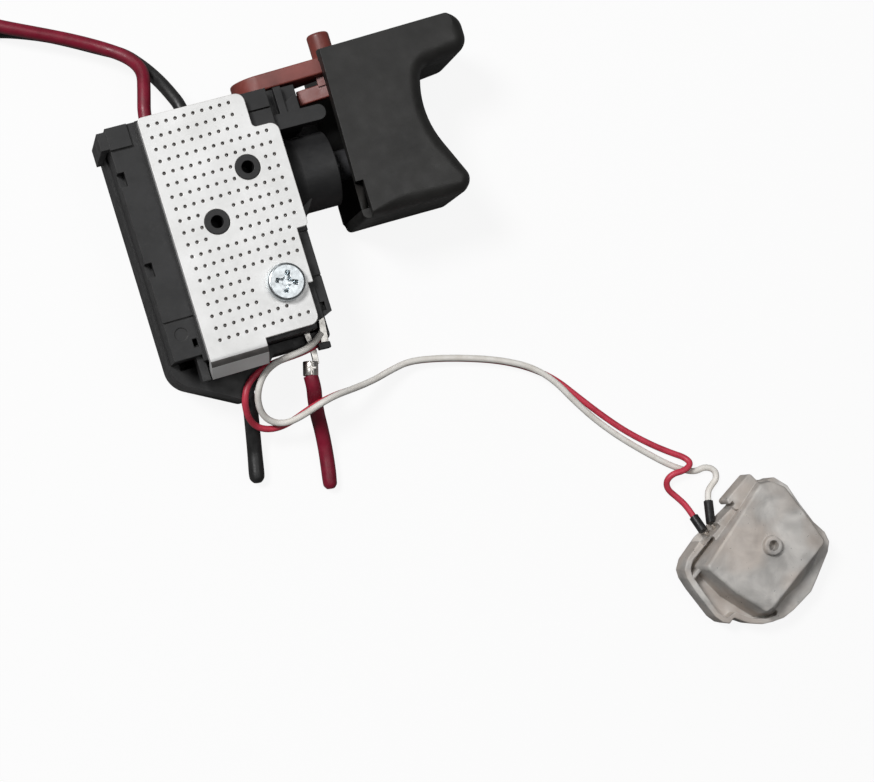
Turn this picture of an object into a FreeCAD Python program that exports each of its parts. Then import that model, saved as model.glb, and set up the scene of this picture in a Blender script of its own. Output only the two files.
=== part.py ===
import FreeCAD, Part
import math
import os
import re

import Sketcher

# Trigger switch of a cordless drill, lying on its back face.
# Origin: centre of the housing's back face. X points to the trigger's finger side,
# Y to the direction lever, Z out of the heat sink. Sizes are in millimetres.

Vector = FreeCAD.Vector
Rotation = FreeCAD.Rotation
Placement = FreeCAD.Placement

SIZES = (
    # Housing
    ("shell_left", 12.3, "housing centre to the base's left side"),
    ("shell_right", 12.2, "housing centre to its right side"),
    ("shell_top", 18.9, "housing centre to its top side"),
    ("shell_foot", 18.6, "housing centre to the base's bottom side"),
    ("split_level", 8.5, "height of the joint between base and cover"),
    ("cover_level", 15.5, "height of the cover's top face"),
    ("wall_thick", 1.5, "housing wall"),
    ("corner_round", 0.8, "radius of the housing's upright corners"),
    ("lobe_tip_across", 2.4, "base lobe: tip left of centre"),
    ("lobe_reach", 5.6, "base lobe: tip below the base's bottom side"),
    ("lobe_root_across", 3.2, "base lobe: where it rejoins the bottom side"),
    ("lobe_shoulder_round", 4.0, "base lobe: radius of the left shoulder"),
    ("lobe_tip_round", 1.2, "base lobe: radius of the tip"),
    ("cover_step", 0.3, "cover's left side set in from the base"),
    ("cover_rise", 1.6, "cover's bottom side above the base's"),
    ("spine_width", 4.1, "width of the strip beside the heat sink"),
    ("spine_rise", 1.0, "strip's lower end above the cover's bottom side"),
    ("spine_drop", 0.5, "how far the strip lies below the cover's top face"),
    ("seam_width", 0.25, "moulded seam lines"),
    ("seam_deep", 0.35, "depth of the moulded seam lines"),
    ("spine_seam_rise", 6.8, "seam across the strip above the cover's bottom side"),
    ("side_seam_rise", 7.5, "seam across the lower right ledge above the cover's bottom side"),
    ("corner_seam_set", 3.0, "seam across the upper right corner below the top side"),
    ("notch_deep", 1.0, "clip notches in the strip's outer edge"),
    ("notch_tall", 2.1, "height of a clip notch"),
    ("notch_upper", 10.2, "lower edge of the upper clip notch"),
    ("notch_lower", 3.4, "lower edge of the lower clip notch, below centre"),
    ("hook_thick", 1.0, "snap hook on the left side"),
    ("hook_tall", 2.6, "snap hook: height along the side"),
    ("hook_set", 0.4, "snap hook: upper edge below the top side"),
    ("hook_low_level", 3.5, "snap hook: lowest level"),
    ("hook_cap", 2.0, "snap hook: depth of its cap"),
    ("hook_cap_reach", 3.2, "snap hook: width of its cap"),
    ("mark_radius", 0.95, "ejector mark on the strip"),
    ("mark_rise", 4.6, "ejector mark above the cover's bottom side"),
    ("mark_deep", 0.15, "ejector mark depth"),
    ("vent_wide", 0.7, "small slots beside the heat sink"),
    ("vent_tall", 1.3, "height of a small slot"),
    ("vent_deep", 1.0, "depth of a small slot"),
    ("vent_rise", 2.2, "small slots: lower edge above the cover's bottom side"),
    ("foot_rib_wide", 1.2, "rib beside the heat sink's tab"),
    ("foot_rib_reach", 2.8, "rib beside the tab: length below the cover"),
    ("foot_rib_deep", 4.5, "rib beside the tab: lowest level under the cover's face"),
    ("foot_rib_set", 1.5, "rib beside the tab: top under the cover's face"),
    # Push guide
    ("push_height", 6.0, "plunger axis above the housing's centre"),
    ("barrel_radius", 5.7, "guide barrel outside radius"),
    ("barrel_reach", 7.4, "guide barrel length beyond the housing"),
    ("flare_radius", 6.7, "radius of the barrel's flared root"),
    ("flare_reach", 2.4, "length of the barrel's flared root"),
    ("chamber_radius", 3.38, "bore that holds the return spring"),
    ("guide_left", 3.0, "left face of the inner guide wall"),
    ("guide_thick", 1.5, "inner guide wall"),
    ("guide_margin", 1.3, "wall around the spring bore inside the housing"),
    ("lip_thick", 0.9, "lip at the barrel's mouth"),
    ("slide_gap", 0.07, "running clearance of the plunger"),
    ("plunger_radius", 2.3, "front part of the plunger"),
    ("tail_radius", 1.8, "rear part of the plunger"),
    ("collar_thick", 1.6, "collar that the spring pushes"),
    ("collar_set_back", 0.1, "gap between collar and the barrel's lip at rest"),
    ("plunger_left", 2.6, "plunger's rear end left of centre"),
    ("travel_full", 6.5, "full travel of the trigger"),
    # Lever seat and bracket
    ("pivot_set", 0.6, "direction lever pivot beyond the housing's right side"),
    ("seat_reach", 4.2, "right face of the lever seat from the pivot"),
    ("seat_lift", 0.9, "lower face of the lever seat above the guide barrel"),
    ("seat_half", 4.3, "half depth of the lever seat about the split"),
    ("seat_wall_set", 1.4, "upright rib on the seat: from the housing's right side"),
    ("seat_wall_wide", 1.1, "upright rib on the seat: width"),
    ("seat_wall_rise", 5.7, "upright rib on the seat: height over the split"),
    ("bracket_rise", 5.7, "bracket arm: height over the split"),
    ("bracket_thick", 2.6, "bracket arm: depth"),
    ("bracket_wide", 2.3, "bracket arm: width"),
    ("bracket_reach", 3.3, "bracket arm: right end beyond the seat"),
    ("fin_set", 0.2, "slanted fin: right end set in from the seat's"),
    ("shaft_radius", 1.5, "lever shaft"),
    ("rocker_radius", 3.2, "reversing rocker disc"),
    ("rocker_thick", 1.8, "reversing rocker disc thickness"),
    ("rocker_set", 2.1, "reversing rocker top face below the top side"),
    ("rocker_gap", 0.3, "room around the rocker"),
    # Heat sink
    ("plate_thick", 1.5, "heat sink sheet"),
    ("plate_gap", 0.6, "heat sink: gap to the strip"),
    ("plate_neck_set", 3.7, "heat sink: right edge above the notch, from the side"),
    ("plate_notch", 13.5, "heat sink: height of the notch"),
    ("plate_step_down", 2.3, "heat sink: where the right edge steps in"),
    ("plate_waist_set", 1.8, "heat sink: right edge below the step, from the side"),
    ("plate_jog_down", 10.4, "heat sink: second step below centre"),
    ("plate_low_set", 2.6, "heat sink: lowest right edge, from the side"),
    ("plate_rise", 0.6, "heat sink: bottom edge above the cover's bottom side"),
    ("plate_corner", 1.3, "heat sink corner radius"),
    ("tab_right", 1.3, "bent tab: right edge"),
    ("tab_bend_reach", 0.9, "bent tab: start of the bend below the sheet's edge"),
    ("tab_reach", 3.5, "bent tab: tip below the sheet's edge"),
    ("tab_drop", 3.2, "bent tab: tip below the top face"),
    ("tab_bend_round", 1.7, "bent tab: outside bend radius"),
    ("boss_radius", 1.8, "locating socket outside radius"),
    ("socket_radius", 0.95, "locating socket bore"),
    ("socket_deep", 5.0, "locating socket depth"),
    ("boss_proud", 0.15, "locating socket above the heat sink"),
    ("boss_gap", 0.08, "gap between socket and heat sink"),
    ("boss_upper_across", 6.1, "upper socket right of centre"),
    ("boss_upper_up", 8.1, "upper socket above centre"),
    ("boss_lower_across", 0.5, "lower socket left of centre"),
    ("boss_lower_up", 1.6, "lower socket above centre"),
    ("screw_across", 6.44, "screw right of centre"),
    ("screw_rise", 6.9, "screw above the heat sink's bottom edge"),
    ("screw_radius", 1.5, "screw shank"),
    ("screw_head_radius", 2.8, "screw head"),
    ("screw_head_high", 1.6, "screw head height"),
    ("screw_head_round", 0.5, "screw head edge radius"),
    ("screw_long", 6.2, "screw shank below the head"),
    ("cross_long", 3.1, "screw recess arm length"),
    ("cross_wide", 0.75, "screw recess arm width"),
    ("cross_deep", 1.0, "screw recess depth"),
    ("screw_hole_gap", 0.15, "screw clearance in the sheet"),
    ("nut_across_flats", 5.5, "nut across flats"),
    ("nut_thick", 2.4, "nut thickness"),
    # Transistor
    ("mosfet_wide", 10.0, "transistor width"),
    ("mosfet_tab_thick", 1.3, "transistor tab"),
    ("mosfet_body_thick", 4.4, "transistor body"),
    ("mosfet_tab_reach", 2.9, "tab beyond its hole"),
    ("mosfet_body_set", 3.3, "from the hole to the body"),
    ("mosfet_body_long", 9.2, "body length"),
    ("mosfet_hole_gap", 0.3, "tab hole over the screw radius"),
    ("mosfet_gap", 0.3, "room around the transistor in the cover"),
    ("leg_wide", 0.8, "leg width"),
    ("leg_thick", 0.5, "leg thickness"),
    ("leg_pitch", 2.54, "leg pitch"),
    ("leg_reach", 2.6, "leg length before the bend"),
    ("leg_drop", 2.9, "underside of the legs below the cover's face"),
    # Circuit board
    ("board_thick", 1.0, "circuit board"),
    ("board_lift", 0.9, "circuit board above the base's floor"),
    ("board_margin", 0.6, "circuit board: gap to the walls"),
    ("board_top", 10.4, "circuit board: top edge"),
    ("board_foot_gap", 1.7, "circuit board: gap to the bottom wall"),
    ("stand_radius", 1.2, "board supports"),
    ("diode_radius", 2.0, "diode body radius"),
    ("diode_long", 7.0, "diode body length"),
    ("diode_wire", 0.5, "diode lead radius"),
    ("diode_rise", 2.4, "diode above the board's bottom edge"),
    ("diode_set", 3.6, "diode body: left end from the board's edge"),
    # Slide contacts
    ("carriage_long", 4.4, "contact carriage length"),
    ("carriage_half", 3.2, "contact carriage half width"),
    ("carriage_drop", 3.5, "contact carriage underside below the split"),
    ("carriage_rise", 2.5, "contact carriage top over the split"),
    ("bridge_thick", 0.5, "contact bridge"),
    ("bridge_half", 4.2, "contact bridge half width"),
    ("bridge_drop", 2.5, "contact bridge underside below the split"),
    ("bridge_thick_set", 0.5, "contact bridge top below the split"),
    ("contact_gap", 0.08, "air left when the bridge meets its contacts"),
    ("contact_wide", 1.8, "fixed contact width"),
    ("contact_drop", 4.1, "fixed contact underside below the split"),
    ("wiper_thick", 0.3, "wiper spring strip"),
    ("wiper_wide", 1.2, "wiper finger width"),
    ("wiper_spread", 1.4, "wiper finger from the plunger axis"),
    # Return spring
    ("coil_radius", 2.7, "return spring mean radius"),
    ("coil_wire", 0.3, "return spring wire radius"),
    ("coil_turns", 6.0, "return spring turns"),
    # Trigger
    ("trigger_thick", 16.4, "trigger across its side faces"),
    ("trigger_wall", 1.5, "trigger wall"),
    ("trigger_lean", 0.5, "trigger: rear edge set back at the top"),
    ("trigger_gap", 2.1, "trigger: room left to the housing when it is pulled home"),
    ("trigger_top", 22.4, "trigger: top face at the rear"),
    ("lip_reach", 5.2, "trigger lip: tip beyond the toe"),
    ("lip_rise", 0.8, "trigger lip: top above the top face"),
    ("lip_under_rise", 0.9, "trigger lip: underside above the throat"),
    ("throat_reach", 2.1, "trigger: throat beyond the deepest point"),
    ("throat_rise", 6.8, "trigger: throat above the finger face's waist"),
    ("finger_deep", 5.0, "trigger: depth of the finger face behind the toe"),
    ("waist_up", 9.4, "trigger: height of the finger face's waist"),
    ("toe_reach", 18.1, "trigger toe beyond the rear edge"),
    ("toe_down", 1.9, "trigger toe below centre"),
    ("sole_set", 1.7, "trigger: front end of its bottom behind the toe"),
    ("toe_high", 1.7, "trigger toe above its bottom"),
    ("finger_round", 14.0, "radius of the finger face"),
    ("throat_round", 1.8, "radius of the throat"),
    ("nose_round", 2.4, "radius of the lip and toe"),
    ("edge_round", 1.8, "radius along the trigger's side faces"),
    ("front_wall", 2.2, "trigger wall behind the finger face"),
    ("rear_step_wide", 1.3, "trigger: width of the stepped skirt"),
    ("rear_step_up", 2.0, "trigger: height of the step"),
    ("slot_half", 6.3, "half width of the slot for the lever"),
    ("hub_radius", 3.7, "trigger hub around the plunger"),
    ("hub_gap", 0.5, "trigger hub: room left to the barrel when pulled home"),
    ("hub_wall", 2.1, "wall in front of the plunger"),
    ("web_half", 0.8, "half thickness of the locking web"),
    ("web_gap", 0.7, "locking web: rear edge beyond the lever's tongue"),
    ("web_lift", 0.6, "locking web: lower edge over the barrel"),
    ("web_set", 4.0, "locking web: upper edge below the trigger's top"),
    # Direction lever
    ("lever_thick", 2.4, "direction lever thickness"),
    ("lever_hub", 4.2, "direction lever disc radius"),
    ("lever_arm", 10.7, "pivot to post"),
    ("lever_root_half", 3.9, "half width of the arm at the disc"),
    ("lever_end", 2.2, "radius of the arm's end"),
    ("post_radius", 1.6, "post radius"),
    ("post_high", 4.3, "post above the lever"),
    ("tongue_left", 6.6, "locking tongue: from the pivot"),
    ("tongue_right", 10.4, "locking tongue: far face from the pivot"),
    ("tongue_half", 1.4, "locking tongue: half width"),
    ("tongue_drop", 3.4, "locking tongue below the lever"),
    ("lever_angle", 20.0, "lever swing from neutral, in degrees"),
    ("lever_neck", 0.3, "gap under the lever"),
    # Terminals
    ("strip_thick", 0.6, "brass strip"),
    ("motor_strip_wide", 2.6, "motor terminal width"),
    ("motor_strip_long", 5.2, "motor terminal length"),
    ("motor_strip_set", 1.9, "motor terminal below the top side"),
    ("motor_left_across", 5.2, "left motor lead, left of centre"),
    ("motor_right_across", 1.0, "right motor lead, right of centre"),
    ("lead_radius", 1.0, "motor lead radius"),
    ("lead_gap", 0.15, "room around a lead in the housing"),
    ("supply_radius", 1.15, "battery lead radius"),
    ("supply_across", 7.6, "battery terminal right of centre"),
    ("supply_wide", 2.4, "battery terminal width"),
    ("supply_set", 6.6, "battery terminal: inner end above the bottom side"),
    ("supply_reach", 2.4, "battery terminal: blade tip below the bottom side"),
    ("crimp_radius", 1.5, "crimp barrel radius"),
    ("crimp_long", 2.2, "crimp barrel: lower end below the blade's tip"),
    ("return_across", 1.7, "black battery lead left of centre"),
    ("return_level", 4.0, "black battery lead level at the lobe"),
    ("return_hole_deep", 4.4, "depth of the black lead's hole behind the lobe's tip"),
    ("lamp_across", 11.0, "lamp terminal right of centre"),
    ("lamp_wide", 1.4, "lamp terminal width"),
    ("lamp_lift", 1.1, "lamp terminal underside over the split"),
    ("lamp_set", 4.0, "lamp terminal: inner end above the cover's bottom side"),
    ("lamp_reach", 3.4, "lamp terminal: tip below the cover's bottom side"),
    ("block_wide", 2.4, "lamp connector block"),
    ("block_tall", 1.8, "lamp connector block height"),
    ("block_reach", 1.4, "lamp connector block: lower end below the terminal's tip"),
    # Lamp
    ("lamp_lead_radius", 0.5, "lamp lead radius"),
    ("sleeve_radius", 0.75, "shrink sleeve radius"),
    ("lens_across", 69.5, "lamp lens centre"),
    ("lens_down", 70.9, "lamp lens centre below the switch's centre"),
    ("lens_angle", 30.0, "lamp lens turned, in degrees"),
    ("lens_left", 12.0, "lamp lens: centre to its left corner"),
    ("lens_lean", 1.5, "lamp lens: lean of the left side"),
    ("lens_low_left", 5.2, "lamp lens: left end of the lower side"),
    ("lens_low_right", 2.2, "lamp lens: right end of the lower side"),
    ("lens_foot", 9.8, "lamp lens: centre to its lower side"),
    ("lens_right", 11.1, "lamp lens: centre to its right side"),
    ("lens_side_foot", 5.8, "lamp lens: lower end of the right side"),
    ("lens_side_top", 5.8, "lamp lens: upper end of the right side"),
    ("lens_shoulder", 7.8, "lamp lens: right end of the upper side"),
    ("lens_top", 8.9, "lamp lens: centre to its upper side"),
    ("lens_rim", 4.2, "lamp lens rim height"),
    ("lens_dome", 8.0, "lamp lens top level"),
    ("lens_wall", 1.2, "lamp lens wall"),
    ("lens_inset_left", 3.8, "raised part: set in from the left side"),
    ("lens_inset_top", 3.2, "raised part: set in from the upper side"),
    ("lens_inset_low", 1.6, "raised part: set in from the other sides"),
    ("lens_tab_left", 2.3, "clip tab of the lens: left end"),
    ("lens_tab_wide", 5.2, "clip tab of the lens: width"),
    ("lens_tab_reach", 1.1, "clip tab of the lens: reach"),
    ("lens_boss_across", 2.9, "centre boss right of the lens centre"),
    ("lens_boss_radius", 1.6, "centre boss radius"),
    ("lens_boss_proud", 0.6, "centre boss above the lens"),
    ("lens_hole_radius", 1.0, "hole in the centre boss"),
    ("led_across", 2.5, "lamp diode left of the lens centre"),
    ("led_set", 4.7, "lamp diode base from the lens's upper side"),
    ("led_lift", 0.1, "lamp diode flange above the ground"),
    ("led_long", 5.4, "lamp diode length without its round end"),
    ("led_flange", 0.3, "lamp diode flange beyond its body"),
    ("led_leg_radius", 0.25, "lamp diode leg radius"),
    ("led_leg_long", 4.9, "lamp diode leg length"),
    ("led_leg_half", 0.8, "lamp diode leg from its axis"),
    ("lens_gate_wide", 4.4, "way in for the leads through the rim"),
    ("led_radius", 2.2, "lamp diode body radius"),
)

PLACES = {
    "lobe_tip_down": "shell_foot + lobe_reach",
    "cover_left": "shell_left - cover_step",
    "cover_foot": "shell_foot - cover_rise",
    "spine_foot": "cover_foot - spine_rise",
    "spine_seam_down": "cover_foot - spine_seam_rise",
    "side_seam_down": "cover_foot - side_seam_rise",
    "corner_seam_up": "shell_top - corner_seam_set",
    "hook_top": "shell_top - hook_set",
    "mark_down": "cover_foot - mark_rise",
    "vent_down": "cover_foot - vent_rise",
    "foot_rib_low": "cover_level - foot_rib_deep",
    "foot_rib_high": "cover_level - foot_rib_set",
    "pivot_across": "shell_right + pivot_set",
    "seat_right": "pivot_across + seat_reach",
    "seat_bottom": "push_height + barrel_radius + seat_lift",
    "seat_wall_left": "shell_right + seat_wall_set",
    "seat_wall_high": "split_level + seat_wall_rise",
    "bracket_high": "split_level + bracket_rise",
    "bracket_right": "seat_right + bracket_reach",
    "fin_right": "seat_right - fin_set",
    "rocker_top": "shell_top - rocker_set",
    "plate_left": "cover_left - spine_width - plate_gap",
    "plate_neck": "shell_right - plate_neck_set",
    "plate_right": "shell_right",
    "plate_waist": "shell_right - plate_waist_set",
    "plate_low_right": "shell_right - plate_low_set",
    "plate_foot": "cover_foot - plate_rise",
    "tab_bend_down": "plate_foot + tab_bend_reach",
    "tab_tip_down": "plate_foot + tab_reach",
    "screw_down": "plate_foot - screw_rise",
    "leg_level": "cover_level - leg_drop",
    "board_left": "shell_left - wall_thick - board_margin",
    "board_right": "guide_left - board_margin",
    "board_foot": "shell_foot - wall_thick - board_foot_gap",
    "diode_down": "board_foot - diode_rise",
    "diode_left": "board_left - diode_set",
    "trigger_rear_low": "shell_right + travel_full + trigger_gap",
    "trigger_rear_top": "trigger_rear_low + trigger_lean",
    "lip_tip_across": "toe_across + lip_reach",
    "lip_tip_up": "trigger_top + lip_rise",
    "lip_under_up": "throat_up + lip_under_rise",
    "throat_across": "waist_across + throat_reach",
    "throat_up": "waist_up + throat_rise",
    "waist_across": "toe_across - finger_deep",
    "toe_across": "trigger_rear_low + toe_reach",
    "sole_front": "toe_across - sole_set",
    "sole_down": "toe_down + toe_high",
    "rear_step_across": "trigger_rear_low + rear_step_wide",
    "slot_right": "pivot_across + lever_arm + lever_end + travel_full",
    "hub_left": "shell_right + barrel_reach + travel_full + hub_gap",
    "hub_right": "waist_across - hub_wall",
    "web_left": "pivot_across + tongue_right + web_gap",
    "web_low": "push_height + barrel_radius + web_lift",
    "web_high": "trigger_top - web_set",
    "lever_low": "shell_top + lever_neck",
    "post_top": "lever_low + lever_thick + post_high",
    "tongue_low": "lever_low - tongue_drop",
    "motor_strip_low": "motor_strip_high - motor_strip_long",
    "motor_strip_high": "shell_top - motor_strip_set",
    "supply_inner": "shell_foot - supply_set",
    "supply_tip": "shell_foot + supply_reach",
    "crimp_end": "supply_tip + crimp_long",
    "lamp_inner": "cover_foot - lamp_set",
    "lamp_tip": "cover_foot + lamp_reach",
    "block_down": "lamp_tip + block_reach",
    "lamp_level": "split_level + lamp_lift",
    "led_level": "led_radius + led_flange + led_lift",
    "led_base_up": "lens_top - led_set",
    "carriage_low": "split_level - carriage_drop",
    "carriage_high": "split_level + carriage_rise",
    "bridge_low": "split_level - bridge_drop",
    "bridge_high": "split_level - bridge_thick_set",
    "contact_foot": "split_level - contact_drop",
}

ALIAS = re.compile(r"\b([a-z]+(?:_[a-z]+)+)\b")

doc = FreeCAD.newDocument("trigger_switch")
sheet = doc.addObject("Spreadsheet::Sheet", "Sizes")


def fill_sheet():
    """Put every driving size in the sheet, under its alias."""
    for row, (alias, value, meaning) in enumerate(SIZES, start=1):
        sheet.set(f"A{row}", meaning)
        sheet.set(f"B{row}", str(value))
        sheet.setAlias(f"B{row}", alias)
    doc.recompute()


def spelled_out(formula):
    """The formula with each place that follows from other sizes written in those sizes."""
    while any(word in PLACES for word in ALIAS.findall(formula)):
        formula = ALIAS.sub(
            lambda match: f"({PLACES[match[1]]})" if match[1] in PLACES else match[1], formula)
    return formula


def in_sheet(formula):
    """The formula with each alias read from the sheet."""
    return ALIAS.sub(r"Sizes.\1", spelled_out(formula))


def value_of(formula):
    """The formula's number, in millimetres or degrees."""
    result = sheet.evalExpression(in_sheet(formula))
    return float(getattr(result, "Value", result))


def bind(thing, path, formula):
    """Tie one property to a formula of the sheet's sizes."""
    thing.setExpression(path, in_sheet(formula))


# Solids from primitives

UPRIGHT = {
    "x": Rotation(Vector(0, 1, 0), 90),
    "y": Rotation(Vector(1, 0, 0), -90),
    "z": Rotation(),
}


def box(name, across, up, level):
    """A block between two X, two Y and two Z formulas."""
    solid = doc.addObject("Part::Box", name)
    spans = (across, up, level)
    for path, (low, high) in zip(("Length", "Width", "Height"), spans):
        bind(solid, path, f"({high}) - ({low})")
    for axis, (low, high) in zip("xyz", spans):
        bind(solid, f"Placement.Base.{axis}", low)
    return solid


def stand(solid, axis, start, centre):
    """Turn a round solid along an axis and put it at its start and centre."""
    solid.Placement = Placement(Vector(), UPRIGHT[axis])
    others = [letter for letter in "xyz" if letter != axis]
    bind(solid, f"Placement.Base.{axis}", start)
    for letter, formula in zip(others, centre):
        bind(solid, f"Placement.Base.{letter}", formula)
    return solid


def rod(name, axis, radius, span, centre):
    """A cylinder along an axis; centre gives the other two coordinates."""
    solid = doc.addObject("Part::Cylinder", name)
    bind(solid, "Radius", radius)
    bind(solid, "Height", f"({span[1]}) - ({span[0]})")
    return stand(solid, axis, span[0], centre)


def fuse(name, *pieces):
    """One solid of several."""
    whole = doc.addObject("Part::MultiFuse", name)
    whole.Shapes = list(pieces)
    whole.Refine = True
    return whole


def cut(name, base, *tools):
    """The base less the tools."""
    tool = tools[0] if len(tools) == 1 else fuse(f"{name}_tools", *tools)
    whole = doc.addObject("Part::Cut", name)
    whole.Base = base
    whole.Tool = tool
    return whole


# Bodies with sketches

def new_body(label):
    """An empty body that will be the node of that name."""
    return doc.addObject("PartDesign::Body", label)


def draw(body, name, role, level, across="0", up="0"):
    """An empty sketch on one of the body's own planes, moved by formulas."""
    page = body.newObject("Sketcher::SketchObject", name)
    planes = [item for item in body.Origin.OriginFeatures if item.Role == role]
    page.AttachmentSupport = [(planes[0], "")]
    page.MapMode = "FlatFace"
    bind(page, "AttachmentOffset.Base.x", across)
    bind(page, "AttachmentOffset.Base.y", up)
    bind(page, "AttachmentOffset.Base.z", level)
    return page


def pin(page, edge, end, across, up):
    """Fix one point of a sketch by two formulas."""
    for kind, formula in (("DistanceX", across), ("DistanceY", up)):
        number = page.addConstraint(Sketcher.Constraint(kind, edge, end, value_of(formula)))
        bind(page, f"Constraints[{number}]", formula)


def outline(page, corners):
    """A closed outline of straight lines through corners given by formulas."""
    first = page.GeometryCount
    count = len(corners)
    points = [Vector(value_of(across), value_of(up), 0) for across, up in corners]
    for index in range(count):
        line = Part.LineSegment(points[index], points[(index + 1) % count])
        page.addGeometry(line, False)
    for index in range(count):
        follower = first + (index + 1) % count
        page.addConstraint(Sketcher.Constraint("Coincident", first + index, 2, follower, 1))
    for index, (across, up) in enumerate(corners):
        pin(page, first + index, 1, across, up)


def rectangle(page, across, up):
    """An upright rectangle between two across and two up formulas."""
    low, high = up
    outline(page, [(across[0], low), (across[1], low), (across[1], high), (across[0], high)])


def disc(page, across, up, radius):
    """A circle by its centre and radius."""
    ring = page.addGeometry(Part.Circle(Vector(value_of(across), value_of(up), 0), Vector(0, 0, 1),
                                        value_of(radius)), False)
    pin(page, ring, 3, across, up)
    number = page.addConstraint(Sketcher.Constraint("Radius", ring, value_of(radius)))
    bind(page, f"Constraints[{number}]", radius)


def pad(body, name, page, length, backward=False):
    """Material along the sketch's normal."""
    feature = body.newObject("PartDesign::Pad", name)
    feature.Profile = page
    feature.Reversed = backward
    bind(feature, "Length", length)
    return feature


def pocket(body, name, page, length, forward=True):
    """A cut along the sketch's normal, or against it."""
    feature = body.newObject("PartDesign::Pocket", name)
    feature.Profile = page
    feature.Reversed = forward
    bind(feature, "Length", length)
    return feature


def turned(body, name, kind, page, axis):
    """A full turn of the sketch about its own H_Axis or V_Axis."""
    feature = body.newObject(f"PartDesign::{kind}", name)
    feature.Profile = page
    feature.ReferenceAxis = (page, [axis])
    feature.Angle = 360
    return feature


def round_edges(body, name, radius, wanted):
    """A fillet on the edges of the body's last feature that are wanted."""
    doc.recompute()
    base = body.Tip
    edges = [f"Edge{n}" for n, edge in enumerate(base.Shape.Edges, start=1) if wanted(edge)]
    if not edges:
        raise RuntimeError(f"{name} finds no edge")
    feature = body.newObject("PartDesign::Fillet", name)
    feature.Base = (base, edges)
    bind(feature, "Radius", radius)
    return feature


CLOSE = 0.02


def upright_at(*corners):
    """Chooses edges along Z that stand on one of the corners."""
    spots = [(value_of(across), value_of(up)) for across, up in corners]

    def wanted(edge):
        bounds = edge.BoundBox
        if bounds.XLength > CLOSE or bounds.YLength > CLOSE:
            return False
        middle = bounds.Center
        return any(math.hypot(middle.x - x, middle.y - y) < CLOSE for x, y in spots)

    return wanted


# Housing

SHELL_OUTLINE = [
    ("-shell_left", "shell_top"),
    ("-shell_left", "-shell_foot"),
    ("-lobe_tip_across", "-lobe_tip_down"),
    ("lobe_root_across", "-shell_foot"),
    ("shell_right", "-shell_foot"),
    ("shell_right", "shell_top"),
]

COVER_OUTLINE = [
    ("-cover_left", "shell_top"),
    ("-cover_left", "-spine_foot"),
    ("-cover_left + spine_width", "-spine_foot"),
    ("-cover_left + spine_width", "-cover_foot"),
    ("shell_right", "-cover_foot"),
    ("shell_right", "shell_top"),
]

GUIDE_HALF = "chamber_radius + guide_margin"


def guide_and_seat(body, low, high, seat_low, seat_high):
    """Inner guide wall, lever seat and guide barrel of one housing half."""
    page = draw(body, "guide_sketch", "XY_Plane", low)
    rectangle(page, ("guide_left", "shell_right - wall_thick / 2"),
              (f"push_height - ({GUIDE_HALF})", f"push_height + {GUIDE_HALF}"))
    pad(body, "guide_block", page, f"({high}) - ({low})")

    page = draw(body, "seat_sketch", "XY_Plane", seat_low)
    rectangle(page, ("shell_right - wall_thick", "seat_right"), ("seat_bottom", "shell_top"))
    pad(body, "lever_seat", page, f"({seat_high}) - ({seat_low})")

    page = draw(body, "barrel_sketch", "XY_Plane", "split_level", up="push_height")
    outline(page, [
        ("shell_right - wall_thick", "0"),
        ("shell_right + barrel_reach", "0"),
        ("shell_right + barrel_reach", "barrel_radius"),
        ("shell_right + flare_reach", "barrel_radius"),
        ("shell_right", "flare_radius"),
        ("shell_right - wall_thick", "flare_radius"),
    ])
    turned(body, "barrel", "Revolution", page, "H_Axis")


def guide_bores(body):
    """Stepped bore for the plunger and its spring, and the bore of the lever's shaft."""
    page = draw(body, "bore_sketch", "XY_Plane", "split_level", up="push_height")
    outline(page, [
        ("guide_left - wall_thick", "0"),
        ("shell_right + barrel_reach + wall_thick", "0"),
        ("shell_right + barrel_reach + wall_thick", "plunger_radius + slide_gap"),
        ("shell_right + barrel_reach - lip_thick", "plunger_radius + slide_gap"),
        ("shell_right + barrel_reach - lip_thick", "chamber_radius"),
        ("guide_left + guide_thick", "chamber_radius"),
        ("guide_left + guide_thick", "tail_radius + slide_gap"),
        ("guide_left - wall_thick", "tail_radius + slide_gap"),
    ])
    turned(body, "plunger_bore", "Groove", page, "H_Axis")

    page = draw(body, "shaft_sketch", "XY_Plane", "split_level", across="pivot_across")
    outline(page, [
        ("0", "rocker_top - rocker_thick - rocker_gap"),
        ("rocker_radius + rocker_gap", "rocker_top - rocker_thick - rocker_gap"),
        ("rocker_radius + rocker_gap", "rocker_top + rocker_gap"),
        ("shaft_radius + slide_gap", "rocker_top + rocker_gap"),
        ("shaft_radius + slide_gap", "shell_top + wall_thick"),
        ("0", "shell_top + wall_thick"),
    ])
    turned(body, "shaft_bore", "Groove", page, "V_Axis")


def lead_holes(body):
    """Round ways through the top wall for the two motor leads."""
    page = draw(body, "lead_hole_sketch", "XZ_Plane", "-(shell_top - 2 * wall_thick)")
    disc(page, "-motor_left_across", "split_level", "lead_radius + lead_gap")
    disc(page, "motor_right_across", "split_level", "lead_radius + lead_gap")
    pocket(body, "lead_holes", page, "3 * wall_thick", forward=False)


def trim_at_split(body, upward):
    """Remove what a turned form left beyond the joint between the halves."""
    page = draw(body, "trim_sketch", "XY_Plane", "split_level")
    rectangle(page, ("-2 * shell_left", "shell_right + 2 * barrel_reach"),
              ("-2 * shell_foot", "2 * shell_top"))
    pocket(body, "trim", page, "cover_level + wall_thick", forward=upward)


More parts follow.
